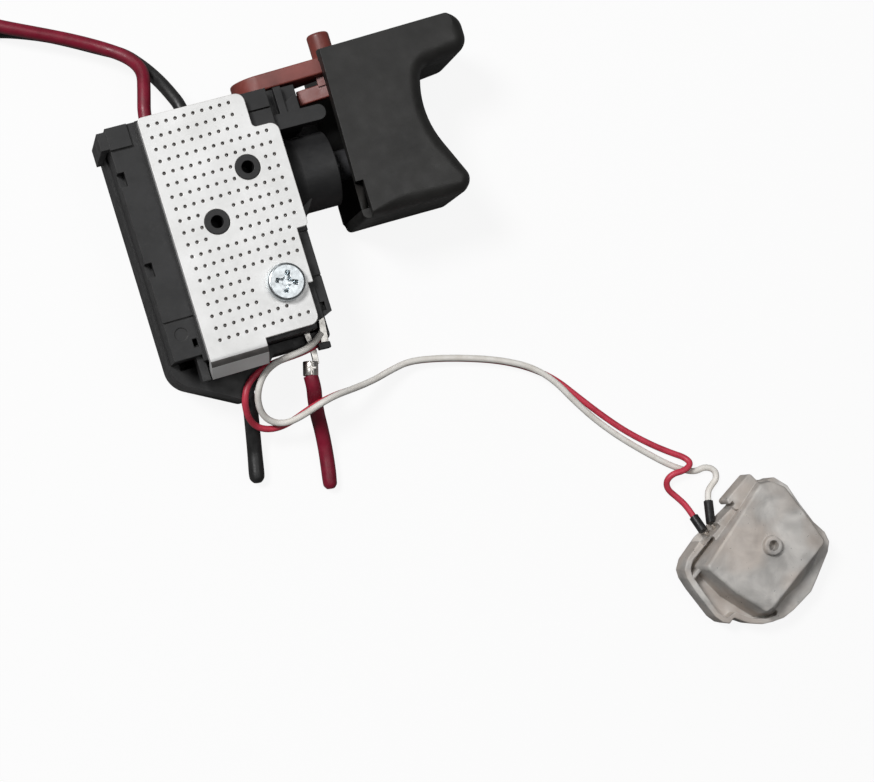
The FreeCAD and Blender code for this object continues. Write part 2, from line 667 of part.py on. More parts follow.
def make_base_shell():
    """Lower half of the housing, with the rounded lobe that the supply leads leave."""
    body = new_body("base_shell")
    page = draw(body, "outline_sketch", "XY_Plane", "0")
    outline(page, SHELL_OUTLINE)
    pad(body, "block", page, "split_level")
    round_edges(body, "shoulder", "lobe_shoulder_round", upright_at(("-shell_left", "-shell_foot")))
    round_edges(body, "tip", "lobe_tip_round", upright_at(("-lobe_tip_across", "-lobe_tip_down")))
    round_edges(body, "corners", "corner_round",
                upright_at(("shell_right", "-shell_foot"), ("-shell_left", "shell_top")))

    page = draw(body, "hollow_sketch", "XY_Plane", "wall_thick")
    rectangle(page, ("-(shell_left - wall_thick)", "shell_right - wall_thick"),
              ("-(shell_foot - wall_thick)", "shell_top - wall_thick"))
    pocket(body, "hollow", page, "split_level")

    guide_and_seat(body, "wall_thick", "split_level", "split_level - seat_half", "split_level")

    page = draw(body, "stand_sketch", "XY_Plane", "wall_thick")
    for across in ("-(board_left - 2 * stand_radius)", "board_right - 2 * stand_radius"):
        for up in ("-(board_foot - 2 * stand_radius)", "board_top - 2 * stand_radius"):
            disc(page, across, up, "stand_radius")
    pad(body, "board_stands", page, "board_lift")

    page = draw(body, "terminal_rib_sketch", "XY_Plane", "wall_thick")
    for centre in ("-motor_left_across", "motor_right_across"):
        rectangle(page, (f"{centre} - motor_strip_wide / 4", f"{centre} + motor_strip_wide / 4"),
                  ("motor_strip_low", "shell_top - wall_thick"))
    pad(body, "terminal_ribs", page, "split_level - lead_radius - strip_thick - wall_thick")

    guide_bores(body)
    lead_holes(body)
    trim_at_split(body, upward=True)

    page = draw(body, "return_hole_sketch", "XZ_Plane", "lobe_tip_down - return_hole_deep")
    disc(page, "-return_across", "return_level", "supply_radius + lead_gap")
    pocket(body, "return_hole", page, "return_hole_deep + wall_thick", forward=True)

    page = draw(body, "terminal_slot_sketch", "XY_Plane", "split_level - strip_thick")
    rectangle(page, ("supply_across - supply_wide / 2", "supply_across + supply_wide / 2"),
              ("-(shell_foot + wall_thick)", "-(shell_foot - 2 * wall_thick)"))
    pocket(body, "terminal_slot", page, "strip_thick * 2")
    return body


def make_cover_shell():
    """Upper half of the housing, which carries the heat sink and the bracket arm."""
    body = new_body("cover_shell")
    page = draw(body, "outline_sketch", "XY_Plane", "split_level")
    outline(page, COVER_OUTLINE)
    pad(body, "block", page, "cover_level - split_level")
    round_edges(body, "corners", "corner_round", upright_at(("shell_right", "-cover_foot")))

    page = draw(body, "hollow_sketch", "XY_Plane", "split_level")
    rectangle(page, ("-(cover_left - wall_thick)", "shell_right - wall_thick"),
              ("-(spine_foot - wall_thick)", "shell_top - wall_thick"))
    pocket(body, "hollow", page, "cover_level - wall_thick - split_level")

    guide_and_seat(body, "split_level", "cover_level - wall_thick / 2", "split_level",
                   "split_level + seat_half")
    seat_details(body)
    sockets(body)
    snap_hook(body)
    guide_bores(body)
    lead_holes(body)
    trim_at_split(body, upward=False)
    cover_cuts(body)
    cover_legs(body)
    return body


def seat_details(body):
    """Upright rib, slanted fin and bracket arm on the lever seat."""
    page = draw(body, "seat_rib_sketch", "XY_Plane", "split_level")
    rectangle(page, ("seat_wall_left", "seat_wall_left + seat_wall_wide"), ("seat_bottom", "shell_top"))
    pad(body, "seat_rib", page, "seat_wall_high - split_level")

    page = draw(body, "fin_sketch", "XY_Plane", "split_level")
    outline(page, [
        ("seat_wall_left", "shell_top - 2 * wall_thick"),
        ("fin_right", "shell_top - wall_thick"),
        ("fin_right", "seat_bottom + bracket_wide"),
        ("seat_wall_left", "seat_bottom + bracket_wide"),
    ])
    pad(body, "fin", page, "(seat_wall_high - split_level) - strip_thick")

    page = draw(body, "bracket_sketch", "XY_Plane", "bracket_high - bracket_thick")
    rectangle(page, ("shell_right - wall_thick", "bracket_right"),
              ("seat_bottom", "seat_bottom + bracket_wide"))
    pad(body, "bracket", page, "bracket_thick")
    round_edges(body, "bracket_end", "bracket_wide / 2 - slide_gap",
                upright_at(("bracket_right", "seat_bottom"),
                           ("bracket_right", "seat_bottom + bracket_wide")))


def sockets(body):
    """Two round locating sockets that stand up through the heat sink."""
    top = "cover_level + plate_thick + boss_proud"
    page = draw(body, "socket_sketch", "XY_Plane", f"{top} - socket_deep - wall_thick / 2")
    disc(page, "boss_upper_across", "boss_upper_up", "boss_radius")
    disc(page, "-boss_lower_across", "boss_lower_up", "boss_radius")
    pad(body, "sockets", page, "socket_deep + wall_thick / 2")
    page = draw(body, "socket_hole_sketch", "XY_Plane", f"{top} - socket_deep")
    disc(page, "boss_upper_across", "boss_upper_up", "socket_radius")
    disc(page, "-boss_lower_across", "boss_lower_up", "socket_radius")
    pocket(body, "socket_holes", page, "socket_deep + wall_thick")


def snap_hook(body):
    """Cap and hanging leg of the snap hook at the upper left corner."""
    page = draw(body, "hook_cap_sketch", "XY_Plane", "cover_level - spine_drop - hook_cap")
    rectangle(page, ("-(shell_left + hook_thick)", "hook_cap_reach - shell_left - hook_thick"),
              ("hook_top - hook_tall", "hook_top"))
    pad(body, "hook_cap", page, "hook_cap + spine_drop / 2")


def cover_cuts(body):
    """Recesses of the cover: strip, seams, clip notches, marks, slots and the transistor's window."""
    page = draw(body, "spine_sketch", "XY_Plane", "cover_level - spine_drop")
    outline(page, [
        ("-2 * cover_left", "-2 * spine_foot"),
        ("-(plate_left + seam_width)", "-2 * spine_foot"),
        ("-(plate_left + seam_width)", "2 * shell_top"),
        ("-(cover_left - hook_cap_reach)", "2 * shell_top"),
        ("-(cover_left - hook_cap_reach)", "hook_top - hook_tall - seam_width"),
        ("-2 * cover_left", "hook_top - hook_tall - seam_width"),
    ])
    rectangle(page, ("plate_waist + seam_width", "2 * shell_right"),
              ("-2 * cover_foot", "-(plate_step_down + 2 * seam_width)"))
    pocket(body, "strip", page, "2 * spine_drop")

    page = draw(body, "seam_sketch", "XY_Plane", "cover_level - spine_drop - seam_deep")
    rectangle(page, ("-2 * cover_left", "-(plate_left + seam_width)"),
              ("-(spine_seam_down + seam_width)", "-spine_seam_down"))
    rectangle(page, ("plate_waist", "2 * shell_right"),
              ("-(side_seam_down + seam_width)", "-side_seam_down"))
    rectangle(page, ("plate_neck + seam_width", "2 * shell_right"),
              ("corner_seam_up", "corner_seam_up + seam_width"))
    pocket(body, "seams", page, "2 * spine_drop + seam_deep")

    page = draw(body, "notch_sketch", "XY_Plane", "cover_level - spine_drop - hook_cap")
    for low in ("notch_upper", "-notch_lower"):
        rectangle(page, ("-2 * cover_left", "-(cover_left - notch_deep)"), (low, f"{low} + notch_tall"))
    pocket(body, "notches", page, "2 * hook_cap")

    page = draw(body, "mark_sketch", "XY_Plane", "cover_level - spine_drop - mark_deep")
    disc(page, "-(cover_left - spine_width / 2)", "-mark_down", "mark_radius")
    pocket(body, "ejector_mark", page, "2 * mark_deep")

    page = draw(body, "slot_sketch", "XY_Plane", "cover_level - spine_drop - vent_deep")
    rectangle(page, ("-(plate_left + 2 * vent_wide)", "-(plate_left + vent_wide)"),
              ("-vent_down", "-(vent_down - vent_tall)"))
    rectangle(page, ("shell_right - 2 * vent_wide", "shell_right - vent_wide"),
              ("-vent_down", "-(vent_down - vent_tall)"))
    pocket(body, "small_slots", page, "2 * vent_deep")

    page = draw(body, "lamp_slot_sketch", "XY_Plane", "lamp_level")
    rectangle(page, ("lamp_across - lamp_wide / 2", "lamp_across + lamp_wide / 2"),
              ("-(cover_foot + wall_thick)", "-lamp_inner"))
    pocket(body, "lamp_slot", page, "strip_thick")

    page = draw(body, "window_sketch", "XY_Plane", "cover_level - 2 * wall_thick")
    rectangle(page, (f"{MOSFET_LEFT} - mosfet_gap", f"{MOSFET_RIGHT} + mosfet_gap"),
              ("-screw_down - mosfet_wide / 2 - mosfet_gap", "-screw_down + mosfet_wide / 2 + mosfet_gap"))
    pocket(body, "transistor_window", page, "3 * wall_thick")


MOSFET_RIGHT = "screw_across + mosfet_tab_reach"
MOSFET_BODY_RIGHT = "screw_across - mosfet_body_set"
MOSFET_LEFT = "screw_across - mosfet_body_set - mosfet_body_long"


def cover_legs(body):
    """Leg of the snap hook that clips over the base, and the rib beside the heat sink's tab."""
    page = draw(body, "hook_leg_sketch", "XY_Plane", "hook_low_level")
    rectangle(page, ("-(shell_left + hook_thick)", "-shell_left"), ("hook_top - hook_tall", "hook_top"))
    pad(body, "hook_leg", page, "cover_level - spine_drop / 2 - hook_low_level")
    page = draw(body, "foot_rib_sketch", "XY_Plane", "foot_rib_low")
    rectangle(page, ("-(plate_left + seam_width + foot_rib_wide)", "-(plate_left + seam_width)"),
              ("-(cover_foot + foot_rib_reach)", "-(spine_foot - wall_thick / 2)"))
    pad(body, "foot_rib", page, "foot_rib_high - foot_rib_low")


# Heat sink and its screw

def make_heat_sink():
    """Aluminium sheet with a bent tab, two holes for the sockets and one for the screw."""
    body = new_body("heat_sink")
    page = draw(body, "outline_sketch", "XY_Plane", "cover_level")
    outline(page, [
        ("-plate_left", "shell_top"),
        ("-plate_left", "-tab_bend_down"),
        ("tab_right", "-tab_bend_down"),
        ("tab_right", "-plate_foot"),
        ("plate_low_right", "-plate_foot"),
        ("plate_low_right", "-plate_jog_down"),
        ("plate_waist", "-plate_jog_down"),
        ("plate_waist", "-plate_step_down"),
        ("plate_right", "-plate_step_down"),
        ("plate_right", "plate_notch"),
        ("plate_neck", "plate_notch"),
        ("plate_neck", "shell_top"),
    ])
    disc(page, "boss_upper_across", "boss_upper_up", "boss_radius + boss_gap")
    disc(page, "-boss_lower_across", "boss_lower_up", "boss_radius + boss_gap")
    disc(page, "screw_across", "-screw_down", "screw_radius + screw_hole_gap")
    pad(body, "sheet", page, "plate_thick")
    round_edges(body, "corners", "plate_corner",
                upright_at(("plate_low_right", "-plate_foot"), ("plate_right", "plate_notch"),
                           ("plate_neck", "shell_top")))
    round_edges(body, "small_corners", "plate_corner / 2",
                upright_at(("-plate_left", "shell_top"), ("plate_neck", "plate_notch"),
                           ("plate_right", "-plate_step_down")))

    page = draw(body, "tab_sketch", "YZ_Plane", "-plate_left")
    outline(page, [
        ("-tab_bend_down", "cover_level"),
        ("-tab_bend_down", "cover_level + plate_thick"),
        ("-(tab_bend_down + plate_thick / 2)", "cover_level + plate_thick"),
        ("-tab_tip_down", "cover_level + plate_thick - tab_drop"),
        ("-(tab_tip_down - plate_thick * 0.8)", "cover_level + plate_thick - tab_drop - plate_thick * 0.6"),
    ])
    pad(body, "tab", page, "plate_left + tab_right")
    bend = (value_of("-(tab_bend_down + plate_thick / 2)"), value_of("cover_level + plate_thick"))

    def at_bend(edge):
        bounds = edge.BoundBox
        if bounds.YLength > CLOSE or bounds.ZLength > CLOSE:
            return False
        return math.hypot(bounds.Center.y - bend[0], bounds.Center.z - bend[1]) < CLOSE

    round_edges(body, "bend", "tab_bend_round", at_bend)
    return body


def make_screw():
    """Pan head screw with a cross recess."""
    body = new_body("heat_sink_screw")
    page = draw(body, "profile_sketch", "XZ_Plane", "screw_down", across="screw_across")
    top = "cover_level + plate_thick"
    outline(page, [
        ("0", f"{top} - screw_long"),
        ("screw_radius", f"{top} - screw_long"),
        ("screw_radius", top),
        ("screw_head_radius", top),
        ("screw_head_radius", f"{top} + screw_head_high"),
        ("0", f"{top} + screw_head_high"),
    ])
    turned(body, "turning", "Revolution", page, "V_Axis")
    rim = value_of(f"{top} + screw_head_high")

    def at_rim(edge):
        return edge.BoundBox.ZLength < CLOSE and abs(edge.BoundBox.ZMax - rim) < CLOSE

    round_edges(body, "head_edge", "screw_head_round", at_rim)
    for name, long_way, short_way in (("recess_across", "cross_long", "cross_wide"),
                                      ("recess_up", "cross_wide", "cross_long")):
        page = draw(body, f"{name}_sketch", "XY_Plane", f"{top} + screw_head_high - cross_deep")
        rectangle(page, (f"screw_across - {long_way} / 2", f"screw_across + {long_way} / 2"),
                  (f"-screw_down - {short_way} / 2", f"-screw_down + {short_way} / 2"))
        pocket(body, name, page, "2 * cross_deep")
    return body


def make_nut():
    """Hexagon nut under the transistor's tab."""
    top = "cover_level - mosfet_tab_thick"
    prism = doc.addObject("Part::Prism", "nut_blank")
    prism.Polygon = 6
    bind(prism, "Circumradius", "nut_across_flats / 2 / cos(30 deg)")
    bind(prism, "Height", "nut_thick")
    stand(prism, "z", f"{top} - nut_thick", ("screw_across", "-screw_down"))
    hole = rod("nut_hole", "z", "screw_radius", (f"{top} - 2 * nut_thick", top),
               ("screw_across", "-screw_down"))
    return cut("heat_sink_nut", prism, hole)


# Electronics

def make_mosfet():
    """Power transistor, clamped flat under the heat sink, its legs bent down to the board."""
    low, high = "-screw_down - mosfet_wide / 2", "-screw_down + mosfet_wide / 2"
    tab = box("mosfet_tab", (MOSFET_BODY_RIGHT, MOSFET_RIGHT), (low, high),
              ("cover_level - mosfet_tab_thick", "cover_level"))
    hole = rod("mosfet_hole", "z", "screw_radius + mosfet_hole_gap",
               ("cover_level - 2 * mosfet_tab_thick", "cover_level + mosfet_tab_thick"),
               ("screw_across", "-screw_down"))
    pieces = [
        cut("mosfet_drilled_tab", tab, hole),
        box("mosfet_case", (MOSFET_LEFT, MOSFET_BODY_RIGHT), (low, high),
            ("cover_level - mosfet_body_thick", "cover_level")),
    ]
    for number in (-1, 0, 1):
        centre = f"-screw_down + {number} * leg_pitch"
        width = (f"{centre} - leg_wide / 2", f"{centre} + leg_wide / 2")
        pieces.append(box(f"mosfet_leg_{number + 2}", (f"{MOSFET_LEFT} - leg_reach", MOSFET_LEFT), width,
                          ("leg_level", "leg_level + leg_thick")))
        pieces.append(box(f"mosfet_leg_end_{number + 2}",
                          (f"{MOSFET_LEFT} - leg_reach", f"{MOSFET_LEFT} - leg_reach + leg_thick"), width,
                          (BOARD_TOP, "leg_level + leg_thick")))
    return fuse("mosfet", *pieces)


BOARD_LOW = "wall_thick + board_lift"
BOARD_TOP = "wall_thick + board_lift + board_thick"


def make_board():
    """Control board on four stands in the base."""
    return box("circuit_board", ("-board_left", "board_right"), ("-board_foot", "board_top"),
               (BOARD_LOW, BOARD_TOP))


def make_diode():
    """Axial diode lying on the board, its two leads bent down to it."""
    level = f"{BOARD_TOP} + diode_radius"
    right = "-diode_left + diode_long"
    pieces = [
        rod("diode_case", "x", "diode_radius", ("-diode_left", right), ("-diode_down", level)),
        rod("diode_wires", "x", "diode_wire",
            ("-diode_left - diode_radius / 2 - diode_wire", f"{right} + diode_radius / 2 + diode_wire"),
            ("-diode_down", level)),
    ]
    for name, across in (("left", "-diode_left - diode_radius / 2"), ("right", f"{right} + diode_radius / 2")):
        pieces.append(rod(f"diode_{name}_end", "z", "diode_wire * 0.8", (BOARD_TOP, level),
                          (across, "-diode_down")))
    return fuse("flyback_diode", *pieces)


# Slide contacts

CARRIAGE_LEFT = "-(plunger_left + strip_thick)"
BRIDGE_LEFT = "-(plunger_left + strip_thick + bridge_thick)"


def make_carriage():
    """Moulded carriage on the plunger's rear end."""
    block = box("carriage_block", (CARRIAGE_LEFT, f"{CARRIAGE_LEFT} + carriage_long"),
                ("push_height - carriage_half", "push_height + carriage_half"),
                ("carriage_low", "carriage_high"))
    hole = rod("carriage_hole", "x", "tail_radius", ("-plunger_left", "guide_left"),
               ("push_height", "split_level"))
    return cut("contact_carriage", block, hole)


def make_bridge():
    """Copper bar that joins the two fixed contacts at the end of the travel."""
    return box("contact_bridge", (BRIDGE_LEFT, CARRIAGE_LEFT),
               ("push_height - bridge_half", "push_height + bridge_half"), ("bridge_low", "bridge_high"))


def make_wiper():
    """Two spring fingers under the carriage that slide on the board."""
    pieces = []
    for number, sign in enumerate(("-", "+"), start=1):
        centre = f"push_height {sign} wiper_spread"
        width = (f"{centre} - wiper_wide / 2", f"{centre} + wiper_wide / 2")
        pieces.append(box(f"wiper_foot_{number}", (CARRIAGE_LEFT, f"{CARRIAGE_LEFT} + wiper_wide"), width,
                          (f"{BOARD_TOP} + contact_gap", "carriage_low")))
    pieces.append(box("wiper_bar", (CARRIAGE_LEFT, f"{CARRIAGE_LEFT} + wiper_wide"),
                      ("push_height - wiper_spread - wiper_wide / 2", "push_height + wiper_spread + wiper_wide / 2"),
                      ("carriage_low - wiper_thick", "carriage_low")))
    return fuse("speed_wiper", *pieces)


def make_fixed_contacts():
    """Two copper contacts on the left wall."""
    made = []
    for name, sign in (("lower", "-"), ("upper", "+")):
        edge = f"push_height {sign} bridge_half"
        inner = f"push_height {sign} (bridge_half - contact_wide)"
        span = (edge, inner) if sign == "-" else (inner, edge)
        made.append(box(f"bypass_contact_{name}",
                        ("-(shell_left - wall_thick)", f"{BRIDGE_LEFT} - travel_full - contact_gap"),
                        span, ("contact_foot", "split_level - contact_gap")))
    return made


def make_plunger():
    """Stepped rod from the trigger's hub through the barrel to the carriage."""
    body = new_body("plunger")
    collar_right = "shell_right + barrel_reach - lip_thick - collar_set_back"
    page = draw(body, "profile_sketch", "XY_Plane", "split_level", up="push_height")
    outline(page, [
        ("-plunger_left", "0"),
        ("hub_right", "0"),
        ("hub_right", "plunger_radius"),
        (collar_right, "plunger_radius"),
        (collar_right, "chamber_radius - slide_gap"),
        (f"{collar_right} - collar_thick", "chamber_radius - slide_gap"),
        (f"{collar_right} - collar_thick", "tail_radius"),
        ("-plunger_left", "tail_radius"),
    ])
    turned(body, "turning", "Revolution", page, "H_Axis")
    return body


def make_return_spring():
    """Wire spring between the inner guide wall and the plunger's collar."""
    left = value_of("guide_left + guide_thick + coil_wire + contact_gap")
    right = value_of("shell_right + barrel_reach - lip_thick - collar_set_back - collar_thick"
                     " - coil_wire - contact_gap")
    radius = value_of("coil_radius")
    wire = value_of("coil_wire")
    helix = Part.makeHelix((right - left) / value_of("coil_turns"), right - left, radius)
    profile = Part.Wire(Part.makeCircle(wire, Vector(radius, 0, 0), Vector(0, 1, 0)))
    spring = doc.addObject("Part::Feature", "return_spring")
    spring.Shape = Part.Wire(helix.Edges).makePipeShell([profile], True, True)
    spring.Placement = Placement(Vector(left, value_of("push_height"), value_of("split_level")),
                                 UPRIGHT["x"])
    return spring


# Trigger

def make_trigger():
    """Hollow trigger with a scooped finger face, a lip above and a toe below."""
    body = new_body("trigger")
    back = "split_level - trigger_thick / 2"
    page = draw(body, "profile_sketch", "XY_Plane", back)
    outline(page, [
        ("trigger_rear_top", "trigger_top"),
        ("trigger_rear_low", "-sole_down"),
        ("sole_front", "-sole_down"),
        ("toe_across", "-toe_down"),
        ("waist_across", "waist_up"),
        ("throat_across", "throat_up"),
        ("lip_tip_across", "lip_under_up"),
        ("lip_tip_across", "lip_tip_up"),
    ])
    pad(body, "block", page, "trigger_thick")
    round_edges(body, "finger_face", "finger_round", upright_at(("waist_across", "waist_up")))
    round_edges(body, "throat", "throat_round", upright_at(("throat_across", "throat_up")))
    round_edges(body, "lip_under", "nose_round", upright_at(("lip_tip_across", "lip_under_up")))
    round_edges(body, "lip_top", "nose_round", upright_at(("lip_tip_across", "lip_tip_up")))
    round_edges(body, "toe", "nose_round * 0.85", upright_at(("toe_across", "-toe_down"),
                                                             ("sole_front", "-sole_down")))
    sides = (value_of(back), value_of(f"{back} + trigger_thick"))
    rear = value_of("trigger_rear_top") + CLOSE

    def round_the_sides(edge):
        bounds = edge.BoundBox
        on_side = any(abs(bounds.ZMin - side) < CLOSE and abs(bounds.ZMax - side) < CLOSE for side in sides)
        return on_side and bounds.XMax > rear

    round_edges(body, "side_edges", "edge_round", round_the_sides)

    page = draw(body, "hollow_sketch", "XY_Plane", f"{back} + trigger_wall")
    outline(page, [
        ("trigger_rear_low - 2 * trigger_wall", "-(sole_down - trigger_wall)"),
        ("waist_across", "-(sole_down - trigger_wall)"),
        ("waist_across - front_wall / 2", "waist_up"),
        ("throat_across - front_wall / 3", "throat_up + trigger_wall"),
        ("lip_tip_across - trigger_wall", "throat_up + 2 * trigger_wall"),
        ("lip_tip_across - trigger_wall", "trigger_top - trigger_wall"),
        ("trigger_rear_low - 2 * trigger_wall", "trigger_top - trigger_wall"),
    ])
    pocket(body, "hollow", page, "trigger_thick - 2 * trigger_wall")

    page = draw(body, "lever_slot_sketch", "XY_Plane", "split_level - slot_half")
    rectangle(page, ("trigger_rear_low - 2 * trigger_wall", "slot_right"),
              ("trigger_top - 2 * trigger_wall", "lip_tip_up + trigger_wall"))
    pocket(body, "lever_slot", page, "2 * slot_half")

    page = draw(body, "skirt_step_sketch", "XY_Plane", f"{back} + trigger_thick - trigger_wall")
    rectangle(page, ("trigger_rear_low - 2 * trigger_wall", "rear_step_across"),
              ("-2 * sole_down", "rear_step_up"))
    pocket(body, "skirt_step", page, "2 * trigger_wall")

    page = draw(body, "hub_sketch", "YZ_Plane", "hub_left")
    disc(page, "push_height", "split_level", "hub_radius")
    pad(body, "hub", page, "waist_across - hub_left")

    page = draw(body, "web_sketch", "XY_Plane", "split_level - web_half")
    outline(page, [
        ("web_left", "web_low"),
        ("hub_left", "web_low"),
        ("hub_left", "push_height"),
        ("waist_across", "push_height"),
        ("waist_across", "web_high"),
        ("web_left", "web_high"),
    ])
    pad(body, "locking_web", page, "2 * web_half")

    page = draw(body, "hub_hole_sketch", "YZ_Plane", "hub_right")
    disc(page, "push_height", "split_level", "plunger_radius")
    pocket(body, "hub_hole", page, "hub_right - hub_left + trigger_wall", forward=False)
    return body


# Direction lever

def lever_place(height):
    """Where the lever's own frame lies: arm along its X, thickness along its Z."""
    tilt = Rotation(Vector(0, 1, 0), -value_of("lever_angle"))
    centre = Vector(value_of("pivot_across"), value_of(height), value_of("split_level"))
    return Placement(centre, tilt * UPRIGHT["y"])


def make_lever():
    """Disc, tapered arm, upright post, locking tongue and shaft in one moulding."""
    body = new_body("direction_lever")
    page = draw(body, "disc_sketch", "XY_Plane", "0")
    disc(page, "0", "0", "lever_hub")
    pad(body, "disc", page, "lever_thick")
    page = draw(body, "arm_sketch", "XY_Plane", "0")
    outline(page, [
        ("0", "-lever_root_half"),
        ("lever_arm", "-lever_end"),
        ("lever_arm", "lever_end"),
        ("0", "lever_root_half"),
    ])
    pad(body, "arm", page, "lever_thick")
    page = draw(body, "arm_end_sketch", "XY_Plane", "0")
    disc(page, "lever_arm", "0", "lever_end")
    pad(body, "arm_end", page, "lever_thick")
    page = draw(body, "post_sketch", "XY_Plane", "0")
    disc(page, "lever_arm", "0", "post_radius")
    pad(body, "post", page, "post_top - lever_low")
    top = value_of("post_top - lever_low")

    def at_post_top(edge):
        return edge.BoundBox.ZLength < CLOSE and abs(edge.BoundBox.ZMax - top) < CLOSE

    round_edges(body, "post_edge", "post_radius / 4", at_post_top)
    page = draw(body, "tongue_sketch", "XY_Plane", "tongue_low - lever_low")
    rectangle(page, ("tongue_left", "tongue_right"), ("-tongue_half", "tongue_half"))
    pad(body, "tongue", page, "lever_low - tongue_low + lever_thick / 2")
    page = draw(body, "shaft_sketch", "XY_Plane", "rocker_top - lever_low")
    disc(page, "0", "0", "shaft_radius")
    pad(body, "shaft", page, "lever_low - rocker_top + lever_thick / 2")
    body.Placement = lever_place("lever_low")
    return body


def make_rocker():
    """Disc on the lever's shaft that carries the reversing blades."""
    rocker = doc.addObject("Part::Cylinder", "reversing_rocker")
    bind(rocker, "Radius", "rocker_radius")
    bind(rocker, "Height", "rocker_thick - strip_thick")
    rocker.Placement = lever_place("rocker_top - rocker_thick + strip_thick")
    return rocker


def make_blades():
    """Pair of contact blades under the rocker."""
    disc_part = doc.addObject("Part::Cylinder", "blade_disc")
    bind(disc_part, "Radius", "rocker_radius - strip_thick / 2")
    bind(disc_part, "Height", "strip_thick")
    gap = doc.addObject("Part::Box", "blade_gap")
    bind(gap, "Length", "4 * rocker_radius")
    bind(gap, "Width", "2 * strip_thick")
    bind(gap, "Height", "3 * strip_thick")
    bind(gap, "Placement.Base.x", "-2 * rocker_radius")
    bind(gap, "Placement.Base.y", "-strip_thick")
    bind(gap, "Placement.Base.z", "-strip_thick")
    blades = cut("reversing_blades", disc_part, gap)
    blades.Placement = lever_place("rocker_top - rocker_thick")
    return blades


# Terminals

def make_motor_terminals():
    """Brass strips under the motor leads' ends."""
    made = []
    for name, centre in (("left", "-motor_left_across"), ("right", "motor_right_across")):
        made.append(box(f"motor_terminal_{name}",
                        (f"{centre} - motor_strip_wide / 2", f"{centre} + motor_strip_wide / 2"),
                        ("motor_strip_low", "motor_strip_high"),
                        ("split_level - lead_radius - strip_thick", "split_level - lead_radius")))
    return made


def make_supply_terminal():
    """Brass blade through the bottom wall, with a crimp barrel around the red supply lead."""
    blade = box("supply_blade", ("supply_across - supply_wide / 2", "supply_across + supply_wide / 2"),
                ("-supply_tip", "-supply_inner"), ("split_level - strip_thick", "split_level"))
    barrel = rod("supply_crimp", "y", "crimp_radius", ("-crimp_end", "-supply_tip + strip_thick"),
                 ("supply_across", "split_level - strip_thick / 2"))
    return fuse("battery_terminal", blade, barrel)


def make_lamp_terminal():
    """Tinned blade that the lamp's leads are soldered to."""
    return box("lamp_terminal", ("lamp_across - lamp_wide / 2", "lamp_across + lamp_wide / 2"),
               ("-lamp_tip", "-lamp_inner"), ("lamp_level", "lamp_level + strip_thick"))


def make_lamp_block():
    """Small moulded block on the lamp blade's tip."""
    block = box("lamp_block_blank", ("lamp_across - block_wide / 2", "lamp_across + block_wide / 2"),
                ("-block_down", "-block_down + block_tall"),
                ("lamp_level - strip_thick", "lamp_level + 2 * strip_thick"))
    slot = box("lamp_block_slot", ("lamp_across - lamp_wide / 2", "lamp_across + lamp_wide / 2"),
               ("-lamp_tip", "-lamp_inner"), ("lamp_level", "lamp_level + strip_thick"))
    return cut("lamp_terminal_block", block, slot)


# Leads

def tangent_path(points):
    """Straight runs joined by tangent arcs, each as large as its two runs allow."""
    runs = [points[i + 1] - points[i] for i in range(len(points) - 1)]
    edges = []
    radii = []
    start = points[0]
    for index in range(1, len(points) - 1):
        before, after = runs[index - 1], runs[index]
        shorter = min(before.Length, after.Length)
        into = Vector(before).normalize()
        out = Vector(after).normalize()
        turn = into.getAngle(out)
        setback = 0.45 * shorter
        radius = setback / math.tan(turn / 2)
        arc_start = points[index] - into * setback
        arc_end = points[index] + out * setback
        inward = (out - into).normalize()
        middle = points[index] + inward * (radius / math.cos(turn / 2) - radius)
        edges.append(Part.LineSegment(start, arc_start).toShape())
        edges.append(Part.Arc(arc_start, middle, arc_end).toShape())
        radii.append(radius)
        start = arc_end
    edges.append(Part.LineSegment(start, points[-1]).toShape())
    return Part.Wire(edges), radii


def make_lead(label, radius_formula, route):
    """Round lead along a route of points chosen by hand."""
    points = [Vector(*point) for point in route]
    radius = value_of(radius_formula)
    path, radii = tangent_path(points)
    profile = Part.Wire(Part.makeCircle(radius, points[0], points[1] - points[0]))
    lead = doc.addObject("Part::Feature", label)
    lead.Shape = path.makePipeShell([profile], True, False)
    expected = math.pi * radius * radius * path.Length
    print(f"{label}: length {path.Length:.1f}, arcs {[round(arc, 1) for arc in radii]},"
          f" volume over expected {lead.Shape.Volume / expected:.4f}")
    return lead


